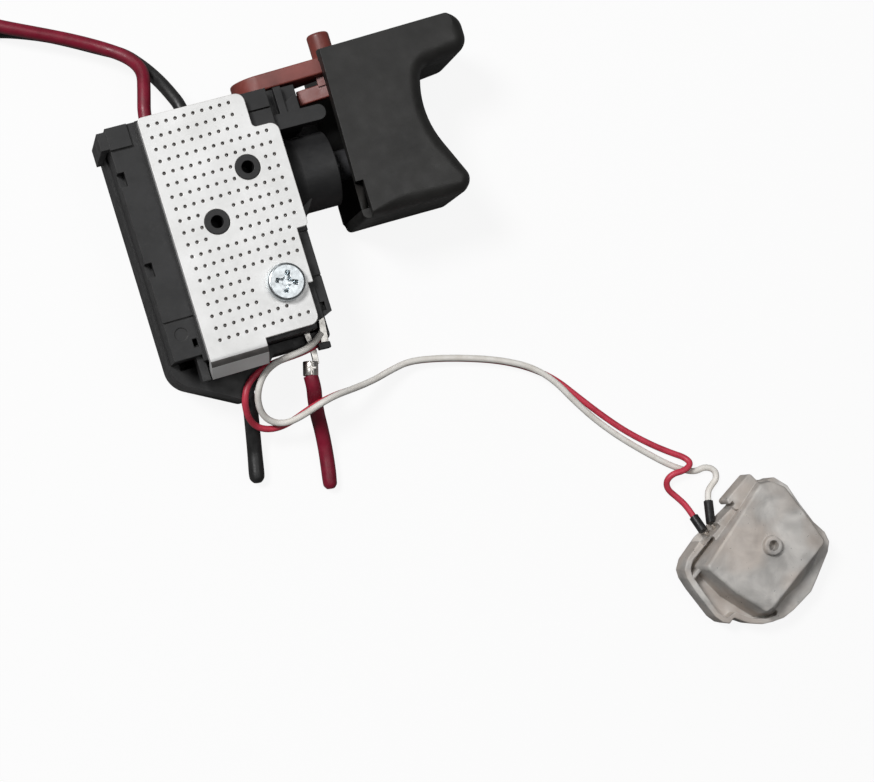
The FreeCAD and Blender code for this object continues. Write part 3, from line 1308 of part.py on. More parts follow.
def lead_routes():
    """Each lead's name, radius and points, from its terminal to its end."""
    left = -value_of("motor_left_across")
    right = value_of("motor_right_across")
    level = value_of("split_level")
    inside = value_of("motor_strip_high") - 3.0
    outside = value_of("shell_top") + 1.0
    supply = value_of("supply_across")
    supply_level = value_of("split_level - strip_thick / 2")
    crimp = -value_of("crimp_end")
    black = -value_of("return_across")
    black_level = value_of("return_level")
    hole_end = -value_of("lobe_tip_down - return_hole_deep")
    return (
        ("motor_lead_red", "lead_radius", (
            (left, inside, level), (left, outside, level), (-3.83, 24.33, 8.0), (-3.01, 26.97, 6.8),
            (-3.25, 28.88, 5.6), (-4.5, 30.9, 4.4), (-7.3, 33.1, 3.4), (-11.3, 35.4, 3.12),
            (-15.3, 37.3, 3.12), (-20.9, 39.9, 3.1), (-26.6, 43.0, 2.6), (-33.0, 45.9, 1.3),
            (-39.6, 47.2, 1.02), (-46.2, 46.8, 1.02))),
        ("motor_lead_black", "lead_radius", (
            (right, inside, level), (right, outside, level), (-0.3, 23.9, 7.0), (-1.2, 26.6, 4.9),
            (-2.3, 29.2, 2.6), (-4.2, 31.9, 1.25), (-7.5, 33.7, 1.02), (-11.4, 35.9, 1.02),
            (-15.4, 37.9, 1.02), (-21.2, 39.9, 1.02), (-27.0, 40.7, 1.02), (-33.0, 40.4, 1.02),
            (-39.2, 38.7, 1.02), (-45.2, 35.8, 1.02))),
        ("battery_lead_red", "supply_radius", (
            (supply, crimp - 0.02, supply_level), (supply, crimp - 1.6, supply_level),
            (supply, crimp - 3.3, 6.0), (supply + 0.05, crimp - 5.5, 3.9), (supply + 0.25, crimp - 8.3, 2.2),
            (supply + 0.1, crimp - 11.4, 1.3), (supply - 0.4, crimp - 14.5, 1.2),
            (supply - 0.8, crimp - 16.7, 1.2))),
        ("battery_lead_black", "supply_radius", (
            (black, hole_end, black_level), (black, hole_end - 4.6, black_level),
            (black - 0.4, hole_end - 7.6, 2.6), (black - 1.0, hole_end - 11.4, 1.3),
            (black - 1.85, hole_end - 15.4, 1.2))),
        ("lamp_lead_white", "lamp_lead_radius", (
            (10.5, -17.6, 10.72), (9.1, -18.8, 11.2), (7.1, -19.4, 11.4), (4.9, -19.6, 11.1),
            (2.7, -19.9, 10.7), (0.7, -20.9, 10.4), (-0.7, -22.6, 10.2), (-1.3, -24.7, 8.9),
            (-0.9, -26.8, 7.3), (0.5, -28.3, 6.3), (2.6, -28.9, 6.2), (4.9, -28.5, 7.3),
            (7.6, -27.6, 9.05), (10.5, -27.0, 8.2), (13.8, -26.8, 6.2), (17.6, -26.4, 4.15),
            (21.1, -25.6, 2.7), (24.4, -25.1, 1.85), (28.8, -25.9, 1.6), (33.7, -27.3, 1.6),
            (38.6, -29.1, 1.6), (43.0, -31.5, 1.6), (45.9, -34.6, 1.6), (47.9, -38.2, 1.3),
            (50.5, -42.1, 0.7), (53.5, -45.9, 0.52), (57.0, -49.6, 0.52), (60.1, -52.6, 0.52),
            (62.4, -54.3, 0.52), (64.3, -55.2, 0.52), (66.1, -54.9, 0.52), (67.6, -55.8, 0.52),
            (67.5, -57.3, 0.52), (66.2, -58.1, 0.55), (65.2, -59.0, 0.65), (64.8, -60.2, 1.0))),
        ("lamp_lead_red", "lamp_lead_radius", (
            (10.5, -18.7, 9.1), (8.7, -19.3, 9.4), (6.6, -19.6, 9.75), (4.3, -19.7, 9.75),
            (2.0, -19.9, 9.5), (-0.4, -20.6, 9.3), (-2.2, -22.0, 9.2), (-3.1, -23.9, 9.1),
            (-3.2, -25.9, 7.7), (-2.4, -27.9, 5.8), (-0.7, -29.2, 4.9), (1.5, -29.6, 4.7),
            (3.8, -29.1, 5.3), (5.9, -28.3, 6.7), (8.1, -27.6, 7.65), (10.8, -27.1, 6.7),
            (14.0, -26.8, 4.7), (17.7, -26.4, 2.7), (21.1, -25.6, 1.4), (24.4, -25.1, 0.72),
            (28.8, -25.9, 0.52), (33.7, -27.3, 0.52), (38.6, -29.1, 0.52), (43.0, -31.5, 0.52),
            (46.5, -34.5, 0.52), (49.1, -38.1, 0.52), (52.0, -42.0, 0.52), (55.0, -45.6, 0.52),
            (58.5, -48.9, 0.52), (61.3, -51.1, 0.52), (63.2, -52.5, 1.0), (63.6, -53.7, 1.75),
            (62.1, -54.4, 2.0), (60.1, -54.3, 1.8), (58.9, -55.1, 1.2), (58.9, -56.5, 0.6),
            (60.1, -58.2, 0.52), (61.2, -60.0, 0.6), (61.6, -61.8, 1.0))),
        ("sleeve_white", "sleeve_radius", ((64.77, -60.33, 1.02), (63.62, -63.6, 2.3))),
        ("sleeve_red", "sleeve_radius", ((61.63, -61.95, 1.06), (62.0, -64.38, 2.35))),
    )


# Lamp

def lens_plan(page, left_in, top_in, low_in):
    """Outline of the lens, set in from its sides."""
    outline(page, [
        (f"-(lens_left - lens_lean) + {left_in}", f"lens_top - {top_in}"),
        (f"-lens_left + {left_in}", "-lens_lean"),
        (f"-lens_low_left + {left_in} / 3", f"-lens_foot + {low_in}"),
        ("lens_low_right", f"-lens_foot + {low_in}"),
        (f"lens_right - {low_in}", f"-lens_side_foot + {low_in} / 2"),
        (f"lens_right - {low_in}", f"lens_side_top - {low_in} / 2"),
        (f"lens_shoulder - {low_in} / 2", f"lens_top - {top_in}"),
    ])


def lens_place(across, up, level):
    """A place in the turned frame of the lens."""
    turn = Rotation(Vector(0, 0, 1), value_of("lens_angle"))
    centre = Vector(value_of("lens_across"), -value_of("lens_down"), 0)
    offset = turn.multVec(Vector(value_of(across), value_of(up), value_of(level)))
    return Placement(centre + offset, turn)


def make_lamp_lens():
    """Clear moulded lamp cover, open below, with a raised part, a clip tab and a centre boss."""
    body = new_body("lamp_lens")
    page = draw(body, "rim_sketch", "XY_Plane", "0")
    lens_plan(page, "0", "0", "0")
    pad(body, "rim", page, "lens_rim")
    page = draw(body, "raised_sketch", "XY_Plane", "0")
    lens_plan(page, "lens_inset_left", "lens_inset_top", "lens_inset_low")
    pad(body, "raised_part", page, "lens_dome")
    page = draw(body, "tab_sketch", "XY_Plane", "lens_wall")
    rectangle(page, ("lens_tab_left", "lens_tab_left + lens_tab_wide"),
              ("lens_top - lens_wall", "lens_top + lens_tab_reach"))
    pad(body, "clip_tab", page, "lens_rim")
    page = draw(body, "boss_sketch", "XY_Plane", "lens_dome - lens_wall")
    disc(page, "lens_boss_across", "0", "lens_boss_radius")
    pad(body, "boss", page, "lens_wall + lens_boss_proud")
    page = draw(body, "rim_hollow_sketch", "XY_Plane", "0")
    lens_plan(page, "lens_wall", "lens_wall", "lens_wall")
    pocket(body, "rim_hollow", page, "lens_rim - lens_wall")
    page = draw(body, "raised_hollow_sketch", "XY_Plane", "0")
    lens_plan(page, "(lens_inset_left + lens_wall)", "(lens_inset_top + lens_wall)",
              "(lens_inset_low + lens_wall)")
    pocket(body, "raised_hollow", page, "lens_dome - lens_wall")
    page = draw(body, "boss_hole_sketch", "XY_Plane", "lens_dome - 2 * lens_wall")
    disc(page, "lens_boss_across", "0", "lens_hole_radius")
    pocket(body, "boss_hole", page, "3 * lens_wall + lens_boss_proud")
    page = draw(body, "gate_sketch", "XY_Plane", "0")
    rectangle(page, ("-led_across - lens_gate_wide / 2", "-led_across + lens_gate_wide / 2"),
              ("lens_top - 2 * lens_wall", "lens_top + lens_wall"))
    pocket(body, "gate", page, "lens_rim - lens_wall / 2")
    body.Placement = lens_place("0", "0", "0")
    return body


def make_lamp_led():
    """Round lamp diode lying under the lens, its two legs pointing out of the gate."""
    body = new_body("lamp_led")
    page = draw(body, "profile_sketch", "XY_Plane", "0")
    outline(page, [
        ("0", "0"),
        ("led_radius + led_flange", "0"),
        ("led_radius + led_flange", "-2 * led_flange"),
        ("led_radius", "-2 * led_flange"),
        ("led_radius", "-led_long"),
        ("0.6 * led_radius", "-led_long - 0.7 * led_radius"),
        ("0", "-led_long - led_radius"),
    ])
    turned(body, "turning", "Revolution", page, "V_Axis")
    page = draw(body, "leg_sketch", "XZ_Plane", "0")
    disc(page, "-led_leg_half", "0", "led_leg_radius")
    disc(page, "led_leg_half", "0", "led_leg_radius")
    pad(body, "legs", page, "led_leg_long", backward=True)
    body.Placement = lens_place("-led_across", "led_base_up", "led_level")
    return body


def check_document():
    """Stop if any object failed to build."""
    doc.recompute()
    for thing in doc.Objects:
        if "Invalid" in thing.State or "Error" in thing.State:
            raise RuntimeError(f"{thing.Label} failed: {thing.State}")


def write_parts(parts):
    """Check each sub-part's solid and write it as its node's file."""
    os.makedirs("parts", exist_ok=True)
    for part in parts:
        shape = part.Shape
        if shape.isNull() or not shape.isValid() or not shape.Solids:
            raise RuntimeError(f"{part.Label} has no valid solid")
        shape.exportStep(f"parts/{part.Label}.step")
        print(f"{part.Label}: {len(shape.Solids)} solid, {shape.Volume:.1f} mm3")


fill_sheet()
parts = [make_base_shell()]
cover = make_cover_shell()
parts += [cover, make_heat_sink(), make_screw(), make_nut(), make_mosfet(), make_board(), make_diode()]
parts += [make_plunger(), make_carriage(), make_bridge(), make_wiper(), *make_fixed_contacts()]
parts += [make_return_spring(), make_trigger(), make_lever(), make_rocker(), make_blades()]
parts += [*make_motor_terminals(), make_supply_terminal(), make_lamp_terminal(), make_lamp_block()]
for label, radius_formula, route in lead_routes():
    parts.append(make_lead(label, radius_formula, route))
parts += [make_lamp_lens(), make_lamp_led()]
check_document()
write_parts(parts)
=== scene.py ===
"""Looks of a drill's trigger switch with its cut leads and its lamp, lying flat and seen from above."""

import math

import bmesh
import bpy
from mathutils import Matrix, Vector


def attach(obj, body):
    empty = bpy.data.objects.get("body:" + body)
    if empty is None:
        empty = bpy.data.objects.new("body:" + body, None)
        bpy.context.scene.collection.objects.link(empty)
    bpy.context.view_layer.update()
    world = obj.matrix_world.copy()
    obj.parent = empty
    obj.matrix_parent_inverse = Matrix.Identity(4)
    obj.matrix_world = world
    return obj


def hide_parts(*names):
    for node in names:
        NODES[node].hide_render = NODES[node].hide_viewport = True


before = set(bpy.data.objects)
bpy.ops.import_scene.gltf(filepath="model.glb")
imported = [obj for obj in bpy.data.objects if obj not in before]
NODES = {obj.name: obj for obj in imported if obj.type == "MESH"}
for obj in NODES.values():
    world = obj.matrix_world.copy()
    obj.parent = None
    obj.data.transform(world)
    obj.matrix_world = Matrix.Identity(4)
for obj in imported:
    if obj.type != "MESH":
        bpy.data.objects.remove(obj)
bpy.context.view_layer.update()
MM = 0.001


# Camera

RIGHT = Vector((0.92849, -0.29256, 0.22872))
UP = Vector((0.28221, 0.95622, 0.07748))
BACK = Vector((-0.24138, -0.00740, 0.97040))
CAMERA_PLACE = Vector((-43.79, -32.95, 286.78)) * MM

lens = bpy.data.cameras.new("camera")
lens.lens = 78.0
lens.sensor_width = 36.0
lens.clip_start = 0.01
lens.clip_end = 5.0
camera = bpy.data.objects.new("camera", lens)
bpy.context.scene.collection.objects.link(camera)
turn = Matrix((RIGHT, UP, BACK)).transposed().to_4x4()
camera.matrix_world = Matrix.Translation(CAMERA_PLACE) @ turn
bpy.context.scene.camera = camera
bpy.context.scene.view_settings.view_transform = "Standard"


# Materials

class Surface:
    """A node material whose textures are sized in millimetres of the object's own space."""

    def __init__(self, name):
        self.material = bpy.data.materials.new(name)
        self.material.use_nodes = True
        self.tree = self.material.node_tree
        self.tree.nodes.clear()
        self.out = self.node("ShaderNodeOutputMaterial")
        self.main = self.node("ShaderNodeBsdfPrincipled")
        self.link(self.main.outputs[0], self.out.inputs["Surface"])
        self.place = self.node("ShaderNodeTexCoord").outputs["Object"]
        self.normal = None

    def node(self, kind, **settings):
        made = self.tree.nodes.new(kind)
        for key, value in settings.items():
            setattr(made, key, value)
        return made

    def link(self, source, target):
        self.tree.links.new(source, target)

    def feed(self, socket, value):
        """Link a socket, or set it to a plain value."""
        if isinstance(value, bpy.types.NodeSocket):
            self.link(value, socket)
        else:
            socket.default_value = value

    def noise(self, size_mm, detail=4.0, roughness=0.55, distortion=0.0):
        """Noise whose lumps are about size_mm across."""
        spread = self.node("ShaderNodeMapping")
        self.link(self.place, spread.inputs["Vector"])
        spread.inputs["Scale"].default_value = [1 / (size_mm * MM)] * 3
        made = self.node("ShaderNodeTexNoise")
        self.link(spread.outputs[0], made.inputs["Vector"])
        made.inputs["Scale"].default_value = 1.0
        made.inputs["Detail"].default_value = detail
        made.inputs["Roughness"].default_value = roughness
        made.inputs["Distortion"].default_value = distortion
        return made.outputs["Fac"]

    def ramp(self, value, *stops):
        """A colour ramp; each stop is (position, colour or grey)."""
        made = self.node("ShaderNodeValToRGB")
        self.link(value, made.inputs[0])
        band = made.color_ramp
        while len(band.elements) < len(stops):
            band.elements.new(0.5)
        for element, (position, tone) in zip(band.elements, stops):
            element.position = position
            element.color = (*tone, 1) if isinstance(tone, tuple) else (tone, tone, tone, 1)
        return made.outputs[0]

    def mix(self, share, first, second):
        """Two colours blended; the share is that of the second one."""
        made = self.node("ShaderNodeMix", data_type="RGBA")
        self.feed(made.inputs[0], share)
        for socket, value in ((made.inputs[6], first), (made.inputs[7], second)):
            self.feed(socket, (*value, 1) if isinstance(value, tuple) else value)
        return made.outputs[2]

    def product(self, first, second):
        made = self.node("ShaderNodeMath", operation="MULTIPLY")
        self.feed(made.inputs[0], first)
        self.feed(made.inputs[1], second)
        return made.outputs[0]

    def soft_edges(self, radius_mm):
        """Rounds the shaded edges and returns a mask that is 1 on them."""
        bevel = self.node("ShaderNodeBevel", samples=6)
        bevel.inputs["Radius"].default_value = radius_mm * MM
        self.normal = bevel.outputs[0]
        true = self.node("ShaderNodeNewGeometry").outputs["True Normal"]
        dot = self.node("ShaderNodeVectorMath", operation="DOT_PRODUCT")
        self.link(bevel.outputs[0], dot.inputs[0])
        self.link(true, dot.inputs[1])
        return self.ramp(dot.outputs["Value"], (0.80, 1.0), (0.985, 0.0))

    def bump(self, height, depth_mm, strength=1.0):
        made = self.node("ShaderNodeBump")
        made.inputs["Strength"].default_value = strength
        made.inputs["Distance"].default_value = depth_mm * MM
        self.link(height, made.inputs["Height"])
        if self.normal is not None:
            self.link(self.normal, made.inputs["Normal"])
        self.normal = made.outputs[0]

    def done(self, colour, rough, metal=0.0, **sockets):
        self.feed(self.main.inputs["Base Color"], (*colour, 1) if isinstance(colour, tuple) else colour)
        self.feed(self.main.inputs["Roughness"], rough)
        self.main.inputs["Metallic"].default_value = metal
        for name, value in sockets.items():
            self.feed(self.main.inputs[name.replace("_", " ")], value)
        if self.normal is not None:
            self.link(self.normal, self.main.inputs["Normal"])
        return self.material


def scaled(colour, factor):
    """A colour made lighter or darker."""
    return tuple(part * factor for part in colour)


# Radius in millimetres over which an edge catches the light
PLASTIC_EDGE = 0.12
METAL_EDGE = 0.06
SHEET_EDGE = 0.15
CLEAR_EDGE = 0.25
GRAIN_DEPTH = 0.012
STAIN_SIZE = 0.8
STAIN_TONE = (0.25, 0.2, 0.15)
CLEAR_WARM_TONE = (0.78, 0.66, 0.57)


def moulded(name, colour, rough=0.45, dust=0.25, dust_tone=(0.16, 0.15, 0.145)):
    """Moulded plastic: fine grain, slow colour changes, a little dust and lighter worn edges."""
    surface = Surface(name)
    edges = surface.soft_edges(PLASTIC_EDGE)
    slow = surface.ramp(surface.noise(5.0), (0.3, scaled(colour, 0.72)), (0.7, scaled(colour, 1.3)))
    specks = surface.ramp(surface.noise(1.1, 8.0, 0.7), (0.56, 0.0), (0.78, dust))
    dusty = surface.mix(specks, slow, dust_tone)
    worn = surface.mix(surface.product(edges, 0.45), dusty, scaled(dust_tone, 1.1))
    surface.bump(surface.noise(0.16, 3.0), GRAIN_DEPTH)
    surface.bump(surface.noise(2.5, 2.0), 0.02, 0.6)
    sheen = surface.ramp(surface.noise(1.8, 6.0), (0.3, rough - 0.08), (0.75, rough + 0.14))
    return surface.done(worn, sheen)


def sheathing(name, colour, dark, rough=0.42):
    """Soft lead insulation with faint creases, smears and specks."""
    surface = Surface(name)
    tone = surface.ramp(surface.noise(2.2, 5.0), (0.3, dark), (0.62, colour))
    grime = surface.ramp(surface.noise(0.5, 6.0, 0.7), (0.62, 0.0), (0.80, 0.5))
    smeared = surface.mix(grime, tone, scaled(dark, 0.8))
    surface.bump(surface.noise(0.35, 4.0), 0.02)
    surface.bump(surface.noise(2.4, 2.0), 0.05, 0.5)
    sheen = surface.ramp(surface.noise(1.2), (0.3, rough - 0.1), (0.7, rough + 0.15))
    return surface.done(smeared, sheen)


def metal(name, colour, rough=0.35, stain_share=0.3):
    """Bare or plated metal with fine scratches and a little tarnish."""
    surface = Surface(name)
    surface.soft_edges(METAL_EDGE)
    tone = surface.ramp(surface.noise(STAIN_SIZE * 3, 5.0), (0.3, scaled(colour, 0.82)), (0.7, colour))
    spots = surface.ramp(surface.noise(STAIN_SIZE, 7.0, 0.7), (0.58, 0.0), (0.75, stain_share))
    stained = surface.mix(spots, tone, STAIN_TONE)
    surface.bump(surface.noise(0.12, 3.0), 0.004)
    sheen = surface.ramp(surface.noise(STAIN_SIZE, 5.0), (0.3, rough - 0.1), (0.75, rough + 0.15))
    return surface.done(stained, sheen, 1.0)


def sheet_metal():
    """Blasted aluminium of the heat sink: pale, matt, warm along its edges and a little stained."""
    surface = Surface("heat_sink_metal")
    edges = surface.soft_edges(SHEET_EDGE)
    tone = surface.ramp(surface.noise(6.0, 4.0), (0.3, (0.80, 0.80, 0.79)), (0.7, (0.92, 0.92, 0.915)))
    spots = surface.ramp(surface.noise(0.9, 8.0, 0.7), (0.60, 0.0), (0.80, 0.35))
    dirty = surface.mix(spots, tone, (0.50, 0.46, 0.43))
    rim = surface.mix(surface.product(edges, 0.5), dirty, (0.70, 0.60, 0.53))
    surface.bump(surface.noise(0.18, 5.0), 0.006)
    sheen = surface.ramp(surface.noise(1.0, 5.0), (0.3, 0.42), (0.75, 0.6))
    return surface.done(rim, sheen, 0.55)


def frosted(name, tone, rough, density):
    """Cloudy clear plastic with warm and grey patches and pale edges."""
    surface = Surface(name)
    edges = surface.soft_edges(CLEAR_EDGE)
    lumps = surface.noise(5.0, 4.0, 0.55, distortion=0.6)
    cloud = surface.ramp(lumps, (0.32, scaled(tone, 0.52)), (0.68, tone))
    warmth = surface.ramp(surface.noise(7.0, 2.0), (0.42, 0.0), (0.62, 0.55))
    warm = surface.mix(warmth, cloud, scaled(CLEAR_WARM_TONE, tone[0]))
    rim = surface.mix(surface.product(edges, 0.75), warm, (0.95, 0.93, 0.90))
    surface.bump(surface.noise(3.0, 3.0), 0.10, 0.6)
    sheen = surface.ramp(surface.noise(0.8, 6.0), (0.3, rough - 0.08), (0.7, rough + 0.15))
    share = surface.ramp(surface.noise(2.4, 5.0, 0.6), (0.3, density), (0.72, density - 0.25))
    return surface.done(rim, sheen, Transmission_Weight=share, IOR=1.49)


BLACK = moulded("housing_black", (0.010, 0.010, 0.0104), rough=0.48, dust=0.14,
                dust_tone=(0.05, 0.048, 0.046))
STRIP = moulded("strip_black", (0.014, 0.014, 0.0146), rough=0.50, dust=0.20,
                dust_tone=(0.07, 0.067, 0.064))
TRIGGER = moulded("trigger_grey", (0.017, 0.0165, 0.0155), rough=0.46, dust=0.05,
                  dust_tone=(0.04, 0.037, 0.034))
LEVER = moulded("lever_red", (0.19, 0.042, 0.033), rough=0.42, dust=0.22, dust_tone=(0.36, 0.19, 0.17))
SLIDE = moulded("slide_plastic", (0.045, 0.045, 0.048), rough=0.34)
CASE = moulded("transistor_case", (0.022, 0.022, 0.022), rough=0.5)
BOARD = moulded("board_green", (0.03, 0.14, 0.06), rough=0.3, dust_tone=(0.3, 0.3, 0.2))
SLEEVE = sheathing("sleeve_black", (0.020, 0.020, 0.021), (0.010, 0.010, 0.010), rough=0.38)
RED = sheathing("wire_red", (0.24, 0.008, 0.030), (0.15, 0.005, 0.018))
DARK = sheathing("wire_black", (0.020, 0.020, 0.020), (0.010, 0.010, 0.010))
WHITE = sheathing("wire_white", (0.88, 0.855, 0.81), (0.76, 0.72, 0.66), rough=0.5)
BRIGHT = sheathing("wire_light_red", (0.66, 0.055, 0.095), (0.50, 0.034, 0.062))
SHEET = sheet_metal()
# Darker metal for the dimples' walls: painted shade in the small recesses
DIMPLE_PAINTED_SHADE = metal("heat_sink_dimple_painted_shade", (0.30, 0.285, 0.275), rough=0.5, stain_share=0.1)
SCREW = metal("screw_metal", (0.62, 0.66, 0.68), rough=0.28, stain_share=0.15)
TIN = metal("terminal_tinned", (0.72, 0.70, 0.66), rough=0.34, stain_share=0.45)
BRASS = metal("contact_brass", (0.76, 0.58, 0.28), rough=0.32)
COPPER = metal("contact_copper", (0.74, 0.42, 0.26), rough=0.32)
STEEL = metal("spring_steel", (0.42, 0.42, 0.43), rough=0.3)
LENS = frosted("lens_clear", (0.90, 0.87, 0.83), rough=0.34, density=0.42)
LED = frosted("led_clear", (0.95, 0.94, 0.88), rough=0.20, density=0.85)

LOOKS = {
    "base_shell": BLACK, "cover_shell": STRIP, "heat_sink": SHEET, "heat_sink_screw": SCREW,
    "heat_sink_nut": SCREW, "mosfet": CASE, "circuit_board": BOARD, "flyback_diode": CASE,
    "plunger": SLIDE, "contact_carriage": SLIDE, "contact_bridge": COPPER, "speed_wiper": COPPER,
    "bypass_contact_lower": BRASS, "bypass_contact_upper": BRASS, "return_spring": STEEL,
    "trigger": TRIGGER, "direction_lever": LEVER, "reversing_rocker": SLIDE,
    "reversing_blades": COPPER, "motor_terminal_left": BRASS, "motor_terminal_right": BRASS,
    "battery_terminal": TIN, "lamp_terminal": TIN, "lamp_terminal_block": BLACK,
    "motor_lead_red": RED, "motor_lead_black": DARK, "battery_lead_red": RED,
    "battery_lead_black": DARK, "lamp_lead_white": WHITE, "lamp_lead_red": BRIGHT,
    "sleeve_white": SLEEVE, "sleeve_red": SLEEVE, "lamp_lens": LENS, "lamp_led": LED,
}
for name, look in LOOKS.items():
    thing = NODES[name]
    thing.data.materials.clear()
    thing.data.materials.append(look)


# Making solids

def rounded(corners, steps=8):
    """Outline in millimetres; each corner is (x, y, radius of its arc)."""
    made = []
    for before, here, after in zip(corners[-1:] + corners[:-1], corners, corners[1:] + corners[:1]):
        place, radius = Vector(here[:2]), here[2]
        if not radius:
            made.append(place)
            continue
        one = (Vector(before[:2]) - place).normalized()
        two = (Vector(after[:2]) - place).normalized()
        half = one.angle(two) / 2
        centre = place + (one + two).normalized() * radius / math.sin(half)
        first = place + one * radius / math.tan(half) - centre
        last = place + two * radius / math.tan(half) - centre
        start = math.atan2(first.y, first.x)
        sweep = (math.atan2(last.y, last.x) - start + math.pi) % (2 * math.pi) - math.pi
        for step in range(steps + 1):
            angle = start + sweep * step / steps
            made.append(centre + Vector((math.cos(angle), math.sin(angle))) * radius)
    return made


def circle(across, up, radius, sides=48):
    turns = [2 * math.pi * side / sides for side in range(sides)]
    return [Vector((across + radius * math.cos(turn), up + radius * math.sin(turn))) for turn in turns]


def rectangle(left, right, low, high, radius=0.0):
    corners = ((left, low), (right, low), (right, high), (left, high))
    return rounded([(*corner, radius) for corner in corners], 4)


def polygon(*corners):
    """Outline in millimetres with sharp corners."""
    return [Vector(corner) for corner in corners]


# Where an outline's own x, y and height point in the model
FLAT = Matrix.Identity(4)
FACING_RIGHT = Matrix(((0, 0, 1, 0), (1, 0, 0, 0), (0, 1, 0, 0), (0, 0, 0, 1)))


def stack(levels, place=FLAT):
    """A closed solid skinned over (outline, height) pairs whose outlines have equally many points."""
    shape = bmesh.new()
    rings = [[shape.verts.new(place @ (Vector((*point, height)) * MM)) for point in outline]
             for outline, height in levels]
    shape.faces.new(rings[0][::-1])
    shape.faces.new(rings[-1])
    for lower, upper in zip(rings, rings[1:]):
        for index, corner in enumerate(lower):
            beside = (index + 1) % len(lower)
            shape.faces.new((corner, lower[beside], upper[beside], upper[index]))
    bmesh.ops.recalc_face_normals(shape, faces=shape.faces)
    mesh = bpy.data.meshes.new("solid")
    shape.to_mesh(mesh)
    shape.free()
    made = bpy.data.objects.new("solid", mesh)
    bpy.context.scene.collection.objects.link(made)
    return made


def solid(outline, low, high, place=FLAT, top=None):
    return stack([(outline, low), (top or outline, high)], place)


def drawn_in(outline, distance, shares=None):
    """An outline moved inwards along its normals, by a share of the distance at each point."""
    pairs = list(zip(outline, outline[1:] + outline[:1]))
    side = 1 if sum(one.x * two.y - two.x * one.y for one, two in pairs) > 0 else -1
    made = []
    for index, point in enumerate(outline):
        along = (outline[(index + 1) % len(outline)] - outline[index - 1]).normalized()
        share = shares[index] if shares else 1.0
        made.append(point + Vector((-along.y, along.x)) * side * distance * share)
    return made


def rolled(outline, low, high, radius, place=FLAT, shares=None, top=None, below=True, steps=4):
    """A solid whose upper and lower edges are rounded."""
    turns = [math.pi / 2 * step / steps for step in range(steps + 1)]
    levels = []
    if below:
        for turn in turns:
            ring = drawn_in(outline, radius * (1 - math.sin(turn)), shares)
            levels.append((ring, low + radius * (1 - math.cos(turn))))
    else:
        levels.append((outline, low))
    for turn in turns[::-1]:
        ring = drawn_in(top or outline, radius * (1 - math.sin(turn)), shares)
        levels.append((ring, high - radius * (1 - math.cos(turn))))
    return stack(levels, place)


def settle(piece):
    """Turn a piece's modifiers into its mesh."""
    graph = bpy.context.evaluated_depsgraph_get()
    graph.update()
    mesh = bpy.data.meshes.new_from_object(piece.evaluated_get(graph))
    piece.modifiers.clear()
    piece.data = mesh


def join(piece, tools, operation):
    """Change a piece by other solids, which are used up."""
    for tool in tools:
        change = piece.modifiers.new("join", "BOOLEAN")
        change.operation = operation
        change.solver = "EXACT"
        change.object = tool
        settle(piece)
        bpy.data.objects.remove(tool, do_unlink=True)
    return piece


def cut(piece, *tools):
    return join(piece, tools, "DIFFERENCE")


def add(piece, *tools):
    return join(piece, tools, "UNION")


SHARP_FROM = math.radians(32)


def finish_piece(piece, name, body, look, stands_for=()):
    """Name, shade and colour a piece and tie it to its body and its nodes."""
    piece.name = name
    mesh = piece.data
    mesh.name = name
    if mesh.has_custom_normals:
        mesh.attributes.remove(mesh.attributes["custom_normal"])
    for face in mesh.polygons:
        face.use_smooth = True
    mesh.set_sharp_from_angle(angle=SHARP_FROM)
    mesh.materials.clear()
    mesh.materials.append(look)
    for face in mesh.polygons:
        face.material_index = 0
    even = piece.modifiers.new("even_normals", "WEIGHTED_NORMAL")
    even.keep_sharp = True
    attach(piece, body)
    if stands_for:
        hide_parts(*stands_for)
    return piece


def copy_of(node):
    """A loose copy of a CAD node's mesh, with its split corners joined again."""
    shape = bmesh.new()
    shape.from_mesh(NODES[node].data)
    bmesh.ops.remove_doubles(shape, verts=shape.verts, dist=1e-6)
    mesh = bpy.data.meshes.new("copy")
    shape.to_mesh(mesh)
    shape.free()
    made = bpy.data.objects.new("copy", mesh)
    bpy.context.scene.collection.objects.link(made)
    return made


# Trigger

TRIGGER_PROFILE = [
    (21.3, 22.4, 0.0), (20.95, 2.0, 0.0), (20.87, -1.8, 0.0), (20.8, -3.6, 0.9), (22.4, -3.6, 0.0),
    (23.6, -3.6, 0.0), (25.5, -3.6, 0.0), (28.0, -3.6, 0.0), (37.0, -3.6, 1.9), (38.75, -1.8, 2.0),
    (33.9, 9.4, 14.0), (36.0, 16.2, 1.8), (44.1, 17.1, 2.5), (44.1, 23.2, 2.5), (40.0, 23.07, 0.0),
]
TRIGGER_ROLL = 2.3
TRIGGER_SIDES = (0.3, 16.7)
CRISP_SHARE = 0.12
# The plunger's axis, as Y and Z
PLUNGER_AXIS = (6.0, 8.5)


def trigger_share(point):
    """Share of the full roll that the trigger's side edges have at a point of its profile."""
    if point.x < 21.5 and point.y > -2.6:
        return CRISP_SHARE if point.y > 21 else 0.0
    if point.y < 0 and point.x < 28.0:
        return 0.3 + 0.7 * max(0.0, min(1.0, (point.x - 21.8) / 5.0))
    if point.y < 1.5 and point.x > 35.5:
        return 0.8
    if point.y > 20.5:
        tip = CRISP_SHARE + max(0.0, (1 - CRISP_SHARE) * (point.x - 41.8) / 2.3)
        return min(1.0, tip)
    return 1.0


